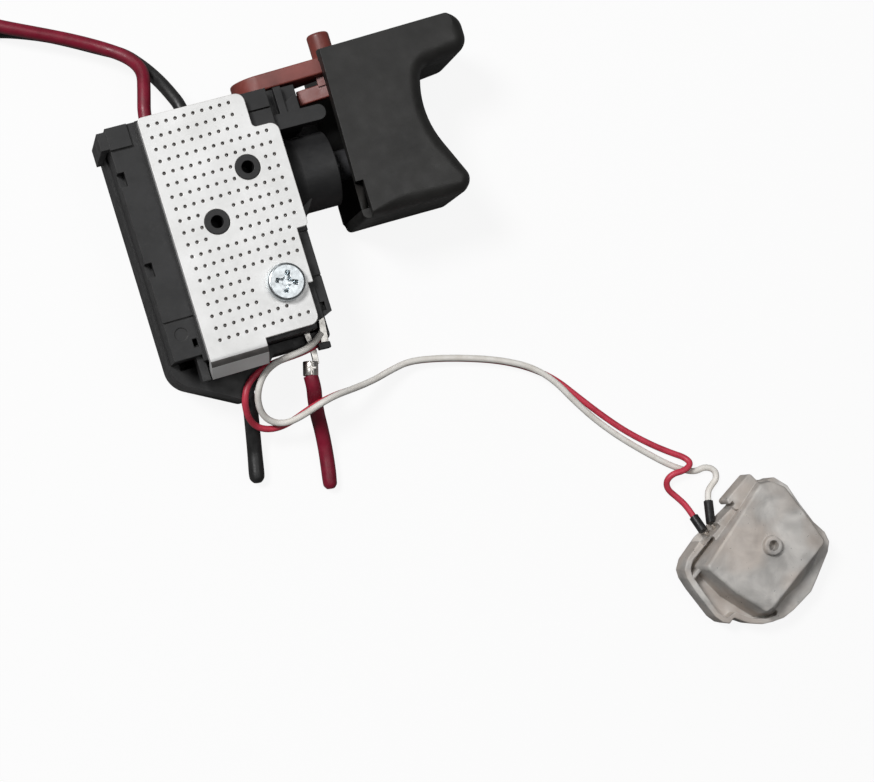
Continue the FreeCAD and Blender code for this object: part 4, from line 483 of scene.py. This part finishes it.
def make_trigger():
    """Hollow trigger: wide rolled edges at its front and sole, a crisp top edge and an open rear."""
    profile = rounded(TRIGGER_PROFILE, 10)
    shares = [trigger_share(point) for point in profile]
    hollow = polygon((17.8, -2.1), (33.9, -2.1), (32.8, 9.4), (35.3, 17.7), (42.6, 19.2), (42.6, 20.9),
                     (17.8, 20.9))
    lever_opening = rectangle(17.8, 32.2, 19.4, 24.7)
    foot_notch = rectangle(17.8, 22.1, -7.2, 2.0)
    web = polygon((23.9, 12.3), (26.7, 12.3), (26.7, 6.0), (33.4, 6.0), (33.4, 18.4), (23.9, 18.4))
    body = rolled(profile, *TRIGGER_SIDES, TRIGGER_ROLL, shares=shares, steps=8)
    cut(body, solid(hollow, 1.8, 15.2), solid(lever_opening, 2.2, 14.8), solid(foot_notch, 15.2, 18.2))
    add(body, solid(circle(*PLUNGER_AXIS, 3.7), 26.6, 33.4, FACING_RIGHT), solid(web, 7.7, 9.3))
    cut(body, solid(circle(*PLUNGER_AXIS, 2.3), 25.0, 31.8, FACING_RIGHT))
    return finish_piece(body, "trigger_moulding", "trigger_slide", TRIGGER, ("trigger",))


# Direction lever

LEVER_TURN = math.radians(20.0)
DISC_RADIUS = 4.2
TIP_RADIUS = 2.2
ARM_REACH = 10.7
LEVER_PLACE = Matrix((
    (math.cos(LEVER_TURN), math.sin(LEVER_TURN), 0, 12.8 * MM),
    (0, 0, 1, 0),
    (math.sin(LEVER_TURN), -math.cos(LEVER_TURN), 0, 8.5 * MM),
    (0, 0, 0, 1)))


def make_lever():
    """Disc, tapered arm and post, with the locking tongue under the arm on a short neck."""
    lean = math.acos((DISC_RADIUS - TIP_RADIUS) / ARM_REACH)
    wide = [lean + (2 * math.pi - 2 * lean) * step / 40 for step in range(41)]
    slim = [-lean + 2 * lean * step / 20 for step in range(21)]
    arm = [Vector((DISC_RADIUS * math.cos(turn), DISC_RADIUS * math.sin(turn))) for turn in wide]
    arm += [Vector((ARM_REACH + TIP_RADIUS * math.cos(turn), TIP_RADIUS * math.sin(turn))) for turn in slim]
    body = rolled(arm, 19.2, 21.6, 0.25, LEVER_PLACE, steps=3)
    post = rolled(circle(ARM_REACH, 0, 1.7), 19.6, 25.4, 0.45, LEVER_PLACE, below=False)
    tongue = rolled(rectangle(5.2, 10.4, -0.9, 0.9, 0.3), 15.8, 18.0, 0.2, LEVER_PLACE, steps=3)
    neck = solid(rectangle(8.8, 10.3, -1.2, 0.8), 17.6, 19.6, LEVER_PLACE)
    shaft = solid(circle(0, 0, 1.5), 16.8, 20.4, LEVER_PLACE)
    add(body, post, tongue, neck, shaft)
    return finish_piece(body, "direction_lever_moulding", "direction_swing_lever", LEVER,
                        ("direction_lever",))


# Heat sink and its screw

# Columns that are punched in each row of the field, counted from the left
DIMPLE_ROWS = (
    (range(0, 10),) * 3 + (range(0, 13),) * 2 + ((*range(0, 8), 11, 12),) * 2 + (range(0, 13),)
    + ((*range(0, 3), *range(6, 13)),) * 3 + (range(0, 12),) * 3 + (range(0, 6),) * 2
    + ((*range(0, 6), 10),) + (range(0, 9),) + (range(0, 11),))
FIRST_DIMPLE = Vector((-6.0, 17.5))
COLUMN_PITCH = 1.35
ROW_PITCH = 1.80
FIELD_TURN = math.radians(1.6)
DIMPLE_LEVEL = 17.02
DIMPLE_DEPTH = 0.80
DIMPLE_WIDE = 0.50
DIMPLE_NARROW = 0.06
SCREW_AT = (6.44, -9.5)
SCREW_TURN = math.radians(-21)
CROSS_REACH = 1.7
CROSS_HALF = 0.38
CROSS_TAPER = 0.6


def make_heat_sink():
    """The bent sheet with its field of small punched dimples, whose walls are darkened with painted shade.
    """
    body = copy_of("heat_sink")
    tilt = Matrix.Rotation(FIELD_TURN, 2)
    upside_down = Matrix.Rotation(math.pi, 4, "X")
    shape = bmesh.new()
    for row, columns in enumerate(DIMPLE_ROWS):
        for column in columns:
            place = FIRST_DIMPLE + tilt @ Vector((column * COLUMN_PITCH, -row * ROW_PITCH))
            at = Matrix.Translation(Vector((place.x, place.y, DIMPLE_LEVEL)) * MM) @ upside_down
            bmesh.ops.create_cone(shape, cap_ends=True, segments=8, radius1=DIMPLE_WIDE * MM,
                                  radius2=DIMPLE_NARROW * MM, depth=DIMPLE_DEPTH * MM, matrix=at)
    mesh = bpy.data.meshes.new("dimples")
    shape.to_mesh(mesh)
    shape.free()
    dimples = bpy.data.objects.new("dimples", mesh)
    bpy.context.scene.collection.objects.link(dimples)
    cut(body, dimples)
    finish_piece(body, "heat_sink_sheet", "housing", SHEET, ("heat_sink",))
    # The dimples' sloping walls take the darker metal, as painted shade in the recesses
    body.data.materials.append(DIMPLE_PAINTED_SHADE)
    for face in body.data.polygons:
        level = face.center.z / MM
        if 16.3 < level < 16.98 and 0.1 < face.normal.z < 0.96:
            face.material_index = 1
    return body


def make_screw():
    """Pan head screw with a deep cross."""
    body = rolled(circle(*SCREW_AT, 2.8), 17.0, 18.45, 0.45, below=False)
    add(body, solid(circle(*SCREW_AT, 1.5), 10.8, 17.2))
    turn = Matrix.Translation(Vector((*SCREW_AT, 0)) * MM) @ Matrix.Rotation(SCREW_TURN, 4, "Z")
    for across, up in ((CROSS_REACH, CROSS_HALF), (CROSS_HALF, CROSS_REACH)):
        top = rectangle(-across, across, -up, up, 0.14)
        across, up = across * CROSS_TAPER, up * CROSS_TAPER
        foot = rectangle(-across, across, -up, up, 0.08)
        cut(body, solid(foot, 17.25, 18.55, turn, top))
    cut(body, solid(circle(0, 0, 0.45, 24), 17.2, 18.55, turn, circle(0, 0, 0.8, 24)))
    return finish_piece(body, "heat_sink_screw_head", "housing", SCREW, ("heat_sink_screw",))


# Lamp lens

LENS_PLACE = Matrix.Translation(Vector((69.5, -70.9, 0)) * MM) @ Matrix.Rotation(math.radians(30), 4, "Z")
LENS_OUTLINE = [
    (0.4, 8.9, 0.3), (-4.6, 9.3, 0.6), (-8.8, 8.9, 0.9), (-10.4, 8.1, 0.7), (-11.1, 6.9, 0.6),
    (-11.6, 4.8, 0.3), (-12.1, 1.4, 0.6), (-12.4, -0.6, 0.5), (-12.2, -2.2, 0.3), (-11.6, -3.2, 0.3),
    (-10.4, -3.1, 0.2), (-9.9, -4.4, 0.3), (-9.3, -5.7, 0.3), (-8.0, -7.3, 0.4), (-6.5, -8.4, 0.4),
    (-4.7, -9.4, 0.6), (-2.8, -9.8, 0.6), (1.5, -10.1, 0.9), (3.9, -9.4, 0.8), (8.2, -8.0, 0.7),
    (9.6, -7.1, 0.5), (10.2, -5.5, 0.5), (10.1, -3.0, 0.5), (10.7, 1.0, 0.6), (11.4, 4.2, 0.6),
    (10.8, 6.8, 0.6), (9.4, 7.5, 0.3), (8.5, 8.3, 0.3),
]
LENS_FOOT = [
    (8.6, 8.5, 0.6), (-8.8, 7.1, 0.8), (-9.0, 0.3, 0.5), (-7.7, -6.2, 1.0), (-5.2, -8.9, 0.9),
    (1.5, -9.8, 1.2), (9.3, -7.1, 1.0), (10.1, -3.0, 0.6), (11.1, 4.2, 0.9), (10.3, 6.9, 0.6),
]
LENS_TOP = [
    (7.2, 8.8, 0.7), (-8.6, 6.7, 0.7), (-8.2, 0.2, 0.5), (-7.0, -5.4, 0.6), (-5.6, -5.8, 0.3),
    (1.0, -5.6, 0.4), (8.0, -5.5, 0.9), (9.0, 0.0, 0.5), (9.8, 5.4, 0.8), (8.9, 7.7, 0.5),
]
LENS_CHANNEL = [
    (-3.0, 8.2, 0.3), (-8.4, 8.1, 0.6), (-9.7, 7.4, 0.5), (-10.3, 6.4, 0.4), (-11.3, 1.2, 0.5),
    (-11.6, -0.7, 0.4), (-11.2, -2.3, 0.4), (-9.6, -2.6, 0.3), (-8.4, -5.5, 0.4), (-6.8, -7.3, 0.5),
    (-5.0, -8.3, 0.4), (-4.0, -5.0, 0.3), (-4.0, 6.0, 0.3),
]
BOSS_AT = (1.24, 1.03)


def inset(corners, margin):
    """The same outline drawn in towards its middle."""
    made = []
    for across, up, radius in corners:
        long = math.hypot(across, up)
        made.append((across * (1 - margin / long), up * (1 - margin / long), radius))
    return made


def make_lens():
    """Clear moulding: low rim, channel beside the raised part, clip tab and a hollow round boss."""
    body = rolled(rounded(LENS_OUTLINE, 3), 0.0, 4.2, 0.22, LENS_PLACE, steps=3)
    tab = rectangle(2.2, 8.2, 8.0, 10.5, 0.5)
    add(body, rolled(tab, 1.2, 5.0, 0.25, LENS_PLACE, steps=3))
    cut(body, solid(rectangle(1.9, 2.9, 9.0, 9.7, 0.2), 0.8, 6.0, LENS_PLACE))
    cut(body, solid(rounded(LENS_CHANNEL, 4), 1.7, 6.0, LENS_PLACE))
    raised = rolled(rounded(LENS_FOOT, 5), 1.0, 8.0, 0.45, LENS_PLACE, top=rounded(LENS_TOP, 5),
                    below=False)
    boss = rolled(circle(*BOSS_AT, 1.9, 40), 6.0, 9.0, 0.25, LENS_PLACE, top=circle(*BOSS_AT, 1.5, 40),
                  below=False)
    web = rolled(rectangle(-11.0, -8.0, 5.9, 6.5, 0.15), 1.5, 4.1, 0.12, LENS_PLACE, below=False,
                 steps=2)
    add(body, raised, boss, web)
    cut(body, solid(rounded(inset(LENS_FOOT, 1.3), 5), -0.5, 6.9, LENS_PLACE,
                    rounded(inset(LENS_TOP, 1.2), 5)))
    cut(body, solid(circle(*BOSS_AT, 0.85, 32), 7.3, 10.0, LENS_PLACE))
    cut(body, solid(rectangle(-5.4, -1.2, 8.2, 11.0), 0.6, 5.5, LENS_PLACE))
    return finish_piece(body, "lamp_lens_moulding", "housing", LENS, ("lamp_lens",))


# Small parts of the housing

def make_guard():
    """Low plate between the lever seat and the barrel, dark behind them."""
    body = rolled(rectangle(11.9, 21.0, 10.8, 18.9, 0.4), 2.1, 3.2, 0.2, steps=2)
    return finish_piece(body, "lower_guard_plate", "housing", BLACK)


def make_cover():
    """The upper shell with its slanted lower right corner."""
    body = copy_of("cover_shell")
    corner = polygon((14, -14.9), (12.7, -14.9), (10.8, -15.7), (9.4, -16.1), (9.2, -17.6), (14, -17.6))
    cut(body, solid(corner, 8.45, 15.7))
    return finish_piece(body, "cover_shell_moulding", "housing", STRIP, ("cover_shell",))


def make_terminals():
    """Narrow blade and rolled crimp of the red battery lead, and the lamp leads' blade and end block."""
    blade = [(8.3, -16.0, 0), (9.2, -16.0, 0), (9.55, -19.8, 0.1), (9.35, -21.8, 0.2), (8.5, -21.8, 0.2),
             (8.6, -19.8, 0.1)]
    body = rolled(rounded(blade, 3), 8.0, 8.6, 0.1, steps=2)
    upright = Vector((0, 0, 1))
    axis = Vector((-0.65, -2.3, 0)).normalized()
    place = Matrix((upright.cross(axis), upright, axis)).transposed().to_4x4()
    place = Matrix.Translation(Vector((8.2, -21.1, 8.2)) * MM) @ place
    add(body, rolled(circle(0, 0, 1.15, 32), 0.0, 2.2, 0.15, place, steps=2))
    cut(body, solid(rectangle(-0.14, 0.14, 0.7, 1.4), -0.2, 2.4, place))
    cut(body, solid(rectangle(-1.4, 1.4, 0.95, 1.4), 0.85, 1.15, place))
    finish_piece(body, "battery_terminal_crimp", "housing", TIN, ("battery_terminal",))
    strip = rounded([(10.85, -13.2, 0), (11.75, -13.2, 0), (11.75, -15.8, 0.2), (11.35, -19.3, 0.1),
                     (10.15, -19.1, 0.1), (10.75, -16.0, 0.2)], 3)
    finish_piece(rolled(strip, 9.6, 10.2, 0.1, steps=2), "lamp_terminal_blade", "housing", TIN,
                 ("lamp_terminal",))
    end = rounded([(9.5, -18.85, 0.15), (11.45, -19.1, 0.15), (11.4, -20.05, 0.15), (9.65, -19.95, 0.15)], 3)
    finish_piece(rolled(end, 9.1, 10.9, 0.15, steps=2), "lamp_terminal_end_block", "housing", BLACK,
                 ("lamp_terminal_block",))


def make_gusset():
    """Fillet between the housing's right wall and the barrel's underside."""
    corner = [(11.9, -1.9, 0), (12.3, -1.9, 0), (13.0, -0.9, 1.5), (14.9, 1.9, 0), (11.9, 2.4, 0)]
    body = solid(rounded(corner), 4.6, 12.4)
    return finish_piece(body, "barrel_gusset", "housing", BLACK)


make_trigger()
make_lever()
make_heat_sink()
make_screw()
lens_piece = make_lens()
make_guard()
make_gusset()
make_cover()
make_terminals()


# Leads

LEAD_POINTS = {
    "motor_lead_red": (
        (-5.2, 14.0, 8.5), (-5.2, 19.9, 8.5), (-3.83, 24.33, 8.0), (-3.01, 26.97, 6.8),
        (-3.25, 28.88, 5.6), (-4.5, 30.9, 4.4), (-7.3, 33.1, 3.4), (-11.3, 35.4, 3.12),
        (-15.3, 37.3, 3.12), (-20.9, 39.9, 3.1), (-26.6, 43.0, 2.6), (-33.0, 45.9, 1.3),
        (-39.6, 47.2, 1.02), (-46.2, 46.8, 1.02)),
    "motor_lead_black": (
        (1.0, 14.0, 8.5), (1.0, 19.9, 8.5), (-0.3, 23.9, 7.0), (-1.2, 26.6, 4.9),
        (-2.3, 29.2, 2.6), (-4.2, 31.9, 1.25), (-7.5, 33.7, 1.02), (-11.4, 35.9, 1.02),
        (-15.4, 37.9, 1.02), (-21.2, 39.9, 1.02), (-27.0, 40.7, 1.02), (-33.0, 40.4, 1.02),
        (-39.2, 38.7, 1.02), (-45.2, 35.8, 1.02)),
    "lamp_lead_white": (
        (10.5, -17.6, 10.72), (9.1, -18.8, 11.2), (7.1, -19.4, 11.4), (4.9, -19.6, 11.1),
        (2.7, -19.9, 10.7), (0.7, -20.9, 10.4), (-0.7, -22.6, 10.2), (-1.3, -24.7, 8.9),
        (-0.9, -26.8, 7.3), (0.5, -28.3, 6.3), (2.6, -28.9, 6.2), (4.9, -28.5, 7.3),
        (7.6, -27.6, 9.05), (10.5, -27.0, 8.2), (13.8, -26.8, 6.2), (17.6, -26.4, 4.15),
        (21.1, -25.6, 2.7), (24.4, -25.1, 1.85), (28.8, -25.9, 1.6), (33.7, -27.3, 1.6),
        (38.6, -29.1, 1.6), (43.0, -31.5, 1.6), (45.9, -34.6, 1.6), (47.9, -38.2, 1.3),
        (50.5, -42.1, 0.7), (53.5, -45.9, 0.52), (57.0, -49.6, 0.52), (60.1, -52.6, 0.52),
        (62.4, -54.3, 0.52), (64.3, -55.2, 0.52), (66.1, -54.9, 0.52), (67.6, -55.8, 0.52),
        (67.5, -57.3, 0.52), (66.2, -58.1, 0.55), (65.2, -59.0, 0.65), (64.8, -60.2, 1.0)),
    "lamp_lead_red": (
        (10.5, -18.7, 9.1), (8.7, -19.3, 9.4), (6.6, -19.6, 9.75), (4.3, -19.7, 9.75),
        (2.0, -19.9, 9.5), (-0.4, -20.6, 9.3), (-2.2, -22.0, 9.2), (-3.1, -23.9, 9.1),
        (-3.2, -25.9, 7.7), (-2.4, -27.8, 5.8), (-0.7, -28.9, 4.9), (1.5, -29.2, 4.7),
        (3.8, -28.7, 5.3), (5.9, -27.9, 6.6), (8.1, -27.3, 7.5), (10.8, -26.9, 6.6),
        (14.0, -26.8, 4.7), (17.7, -26.4, 2.7), (21.1, -25.6, 1.4), (24.4, -25.1, 0.72),
        (28.8, -25.9, 0.52), (33.7, -27.3, 0.52), (38.6, -29.1, 0.52), (43.0, -31.5, 0.52),
        (46.5, -34.5, 0.52), (49.1, -38.1, 0.52), (52.0, -42.0, 0.52), (55.0, -45.6, 0.52),
        (58.5, -48.9, 0.52), (61.3, -51.1, 0.52), (63.2, -52.5, 1.0), (63.6, -53.7, 1.75),
        (62.1, -54.4, 2.0), (60.1, -54.3, 1.8), (58.9, -55.1, 1.2), (58.9, -56.5, 0.6),
        (60.1, -58.2, 0.52), (61.2, -60.0, 0.6), (61.6, -61.8, 1.0)),
}


# Routes of the short cut leads, each point with the lead's radius there
STUB_POINTS = {
    "battery_lead_red": (
        (7.6, -23.1, 8.2, 1.12), (7.6, -24.8, 8.2, 1.15), (7.6, -26.5, 6.0, 1.15), (7.65, -28.7, 3.9, 1.15),
        (7.85, -31.5, 2.2, 1.13), (7.7, -34.6, 1.3, 1.14), (7.25, -37.6, 1.2, 1.16),
        (6.95, -39.2, 1.15, 1.12), (6.85, -39.9, 1.1, 1.05), (6.8, -40.3, 1.05, 0.60)),
    "battery_lead_black": (
        (-1.7, -19.9, 4.0, 1.15), (-1.7, -24.4, 4.0, 1.15), (-2.1, -27.4, 2.6, 1.15),
        (-2.7, -31.2, 1.3, 1.15), (-3.2, -33.6, 1.25, 1.2), (-3.5, -35.0, 1.25, 1.22),
        (-3.62, -35.7, 1.2, 1.1), (-3.68, -36.1, 1.1, 0.62)),
}


def lead(node, points, radius_mm, look, shares=None):
    """A smooth round lead in place of a node; shares are factors on its radius at each point."""
    curve = bpy.data.curves.new(f"{node}_line", "CURVE")
    curve.dimensions = "3D"
    curve.resolution_u = 16
    curve.bevel_depth = radius_mm * MM
    curve.bevel_resolution = 6
    curve.use_fill_caps = True
    spline = curve.splines.new("NURBS")
    spline.points.add(len(points) - 1)
    for made, point, share in zip(spline.points, points, shares or [1.0] * len(points)):
        made.co = (*(Vector(point) * MM), 1.0)
        made.radius = share
    spline.order_u = 3
    spline.use_endpoint_u = True
    made = bpy.data.objects.new(f"{node}_insulation", curve)
    bpy.context.scene.collection.objects.link(made)
    curve.materials.append(look)
    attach(made, "housing")
    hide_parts(node)
    return made


def stub(node, look):
    """A short stiff cut lead with a rounded end."""
    points = [point[:3] for point in STUB_POINTS[node]]
    return lead(node, points, 1.0, look, [point[3] for point in STUB_POINTS[node]])


stub("battery_lead_red", RED)
stub("battery_lead_black", DARK)
motor_red = lead("motor_lead_red", LEAD_POINTS["motor_lead_red"], 1.0, RED)
motor_black = lead("motor_lead_black", LEAD_POINTS["motor_lead_black"], 1.0, DARK)
lamp_white = lead("lamp_lead_white", LEAD_POINTS["lamp_lead_white"], 0.5, WHITE)
lamp_red = lead("lamp_lead_red", LEAD_POINTS["lamp_lead_red"], 0.5, BRIGHT)


# Floor, backdrop and light

FLOOR_SEEN = (0.86, 0.86, 0.86)
FLOOR_TO_OBJECT = (0.22, 0.22, 0.22)
FLOOR_GLOW = 0.90
WORLD_LIGHT = 0.09
WORLD_SEEN = 1.0


def plane(name, half, level):
    mesh = bpy.data.meshes.new(name)
    corners = [(-half, -half, level), (half, -half, level), (half, half, level), (-half, half, level)]
    mesh.from_pydata(corners, [], [(0, 1, 2, 3)])
    made = bpy.data.objects.new(name, mesh)
    bpy.context.scene.collection.objects.link(made)
    return made


def floor_look():
    """Pale paper: nearly white to the camera, with a soft shadow kept on it."""
    surface = Surface("floor_paper")
    seen = surface.node("ShaderNodeLightPath").outputs["Is Camera Ray"]
    surface.link(surface.mix(seen, FLOOR_TO_OBJECT, FLOOR_SEEN), surface.main.inputs["Base Color"])
    surface.main.inputs["Roughness"].default_value = 0.9
    glow = surface.node("ShaderNodeEmission")
    glow.inputs["Color"].default_value = (1, 1, 1, 1)
    glow.inputs["Strength"].default_value = 1.0
    both = surface.node("ShaderNodeMixShader")
    surface.link(surface.product(seen, FLOOR_GLOW), both.inputs[0])
    surface.link(surface.main.outputs[0], both.inputs[1])
    surface.link(glow.outputs[0], both.inputs[2])
    surface.link(both.outputs[0], surface.out.inputs["Surface"])
    return surface.material


floor = plane("floor", 3.0, -0.00005)
floor.data.materials.append(floor_look())

world = bpy.data.worlds.new("studio")
bpy.context.scene.world = world
world.use_nodes = True
tree = world.node_tree
sky = tree.nodes["Background"]
sky.inputs["Color"].default_value = (1.0, 1.0, 1.0, 1)
path = tree.nodes.new("ShaderNodeLightPath")
level = tree.nodes.new("ShaderNodeMix")
level.inputs[2].default_value = WORLD_LIGHT
level.inputs[3].default_value = WORLD_SEEN
tree.links.new(path.outputs["Is Camera Ray"], level.inputs[0])
tree.links.new(level.outputs[0], sky.inputs["Strength"])


def lamp(name, place, size, power):
    light = bpy.data.lights.new(name, "AREA")
    light.shape = "DISK"
    light.size = size
    light.energy = power
    made = bpy.data.objects.new(name, light)
    bpy.context.scene.collection.objects.link(made)
    made.location = place
    aim = Vector(LIT_POINT) - Vector(place)
    made.rotation_euler = aim.to_track_quat("-Z", "Y").to_euler()


LIT_POINT = (0.02, -0.01, 0.01)
lamp("key", (-0.42, 0.40, 0.80), size=0.28, power=7.4)
lamp("soft_box", (0.26, 0.0, 0.88), size=0.55, power=1.3)
lamp("rim", (-0.10, 0.80, 0.30), size=0.40, power=0.5)
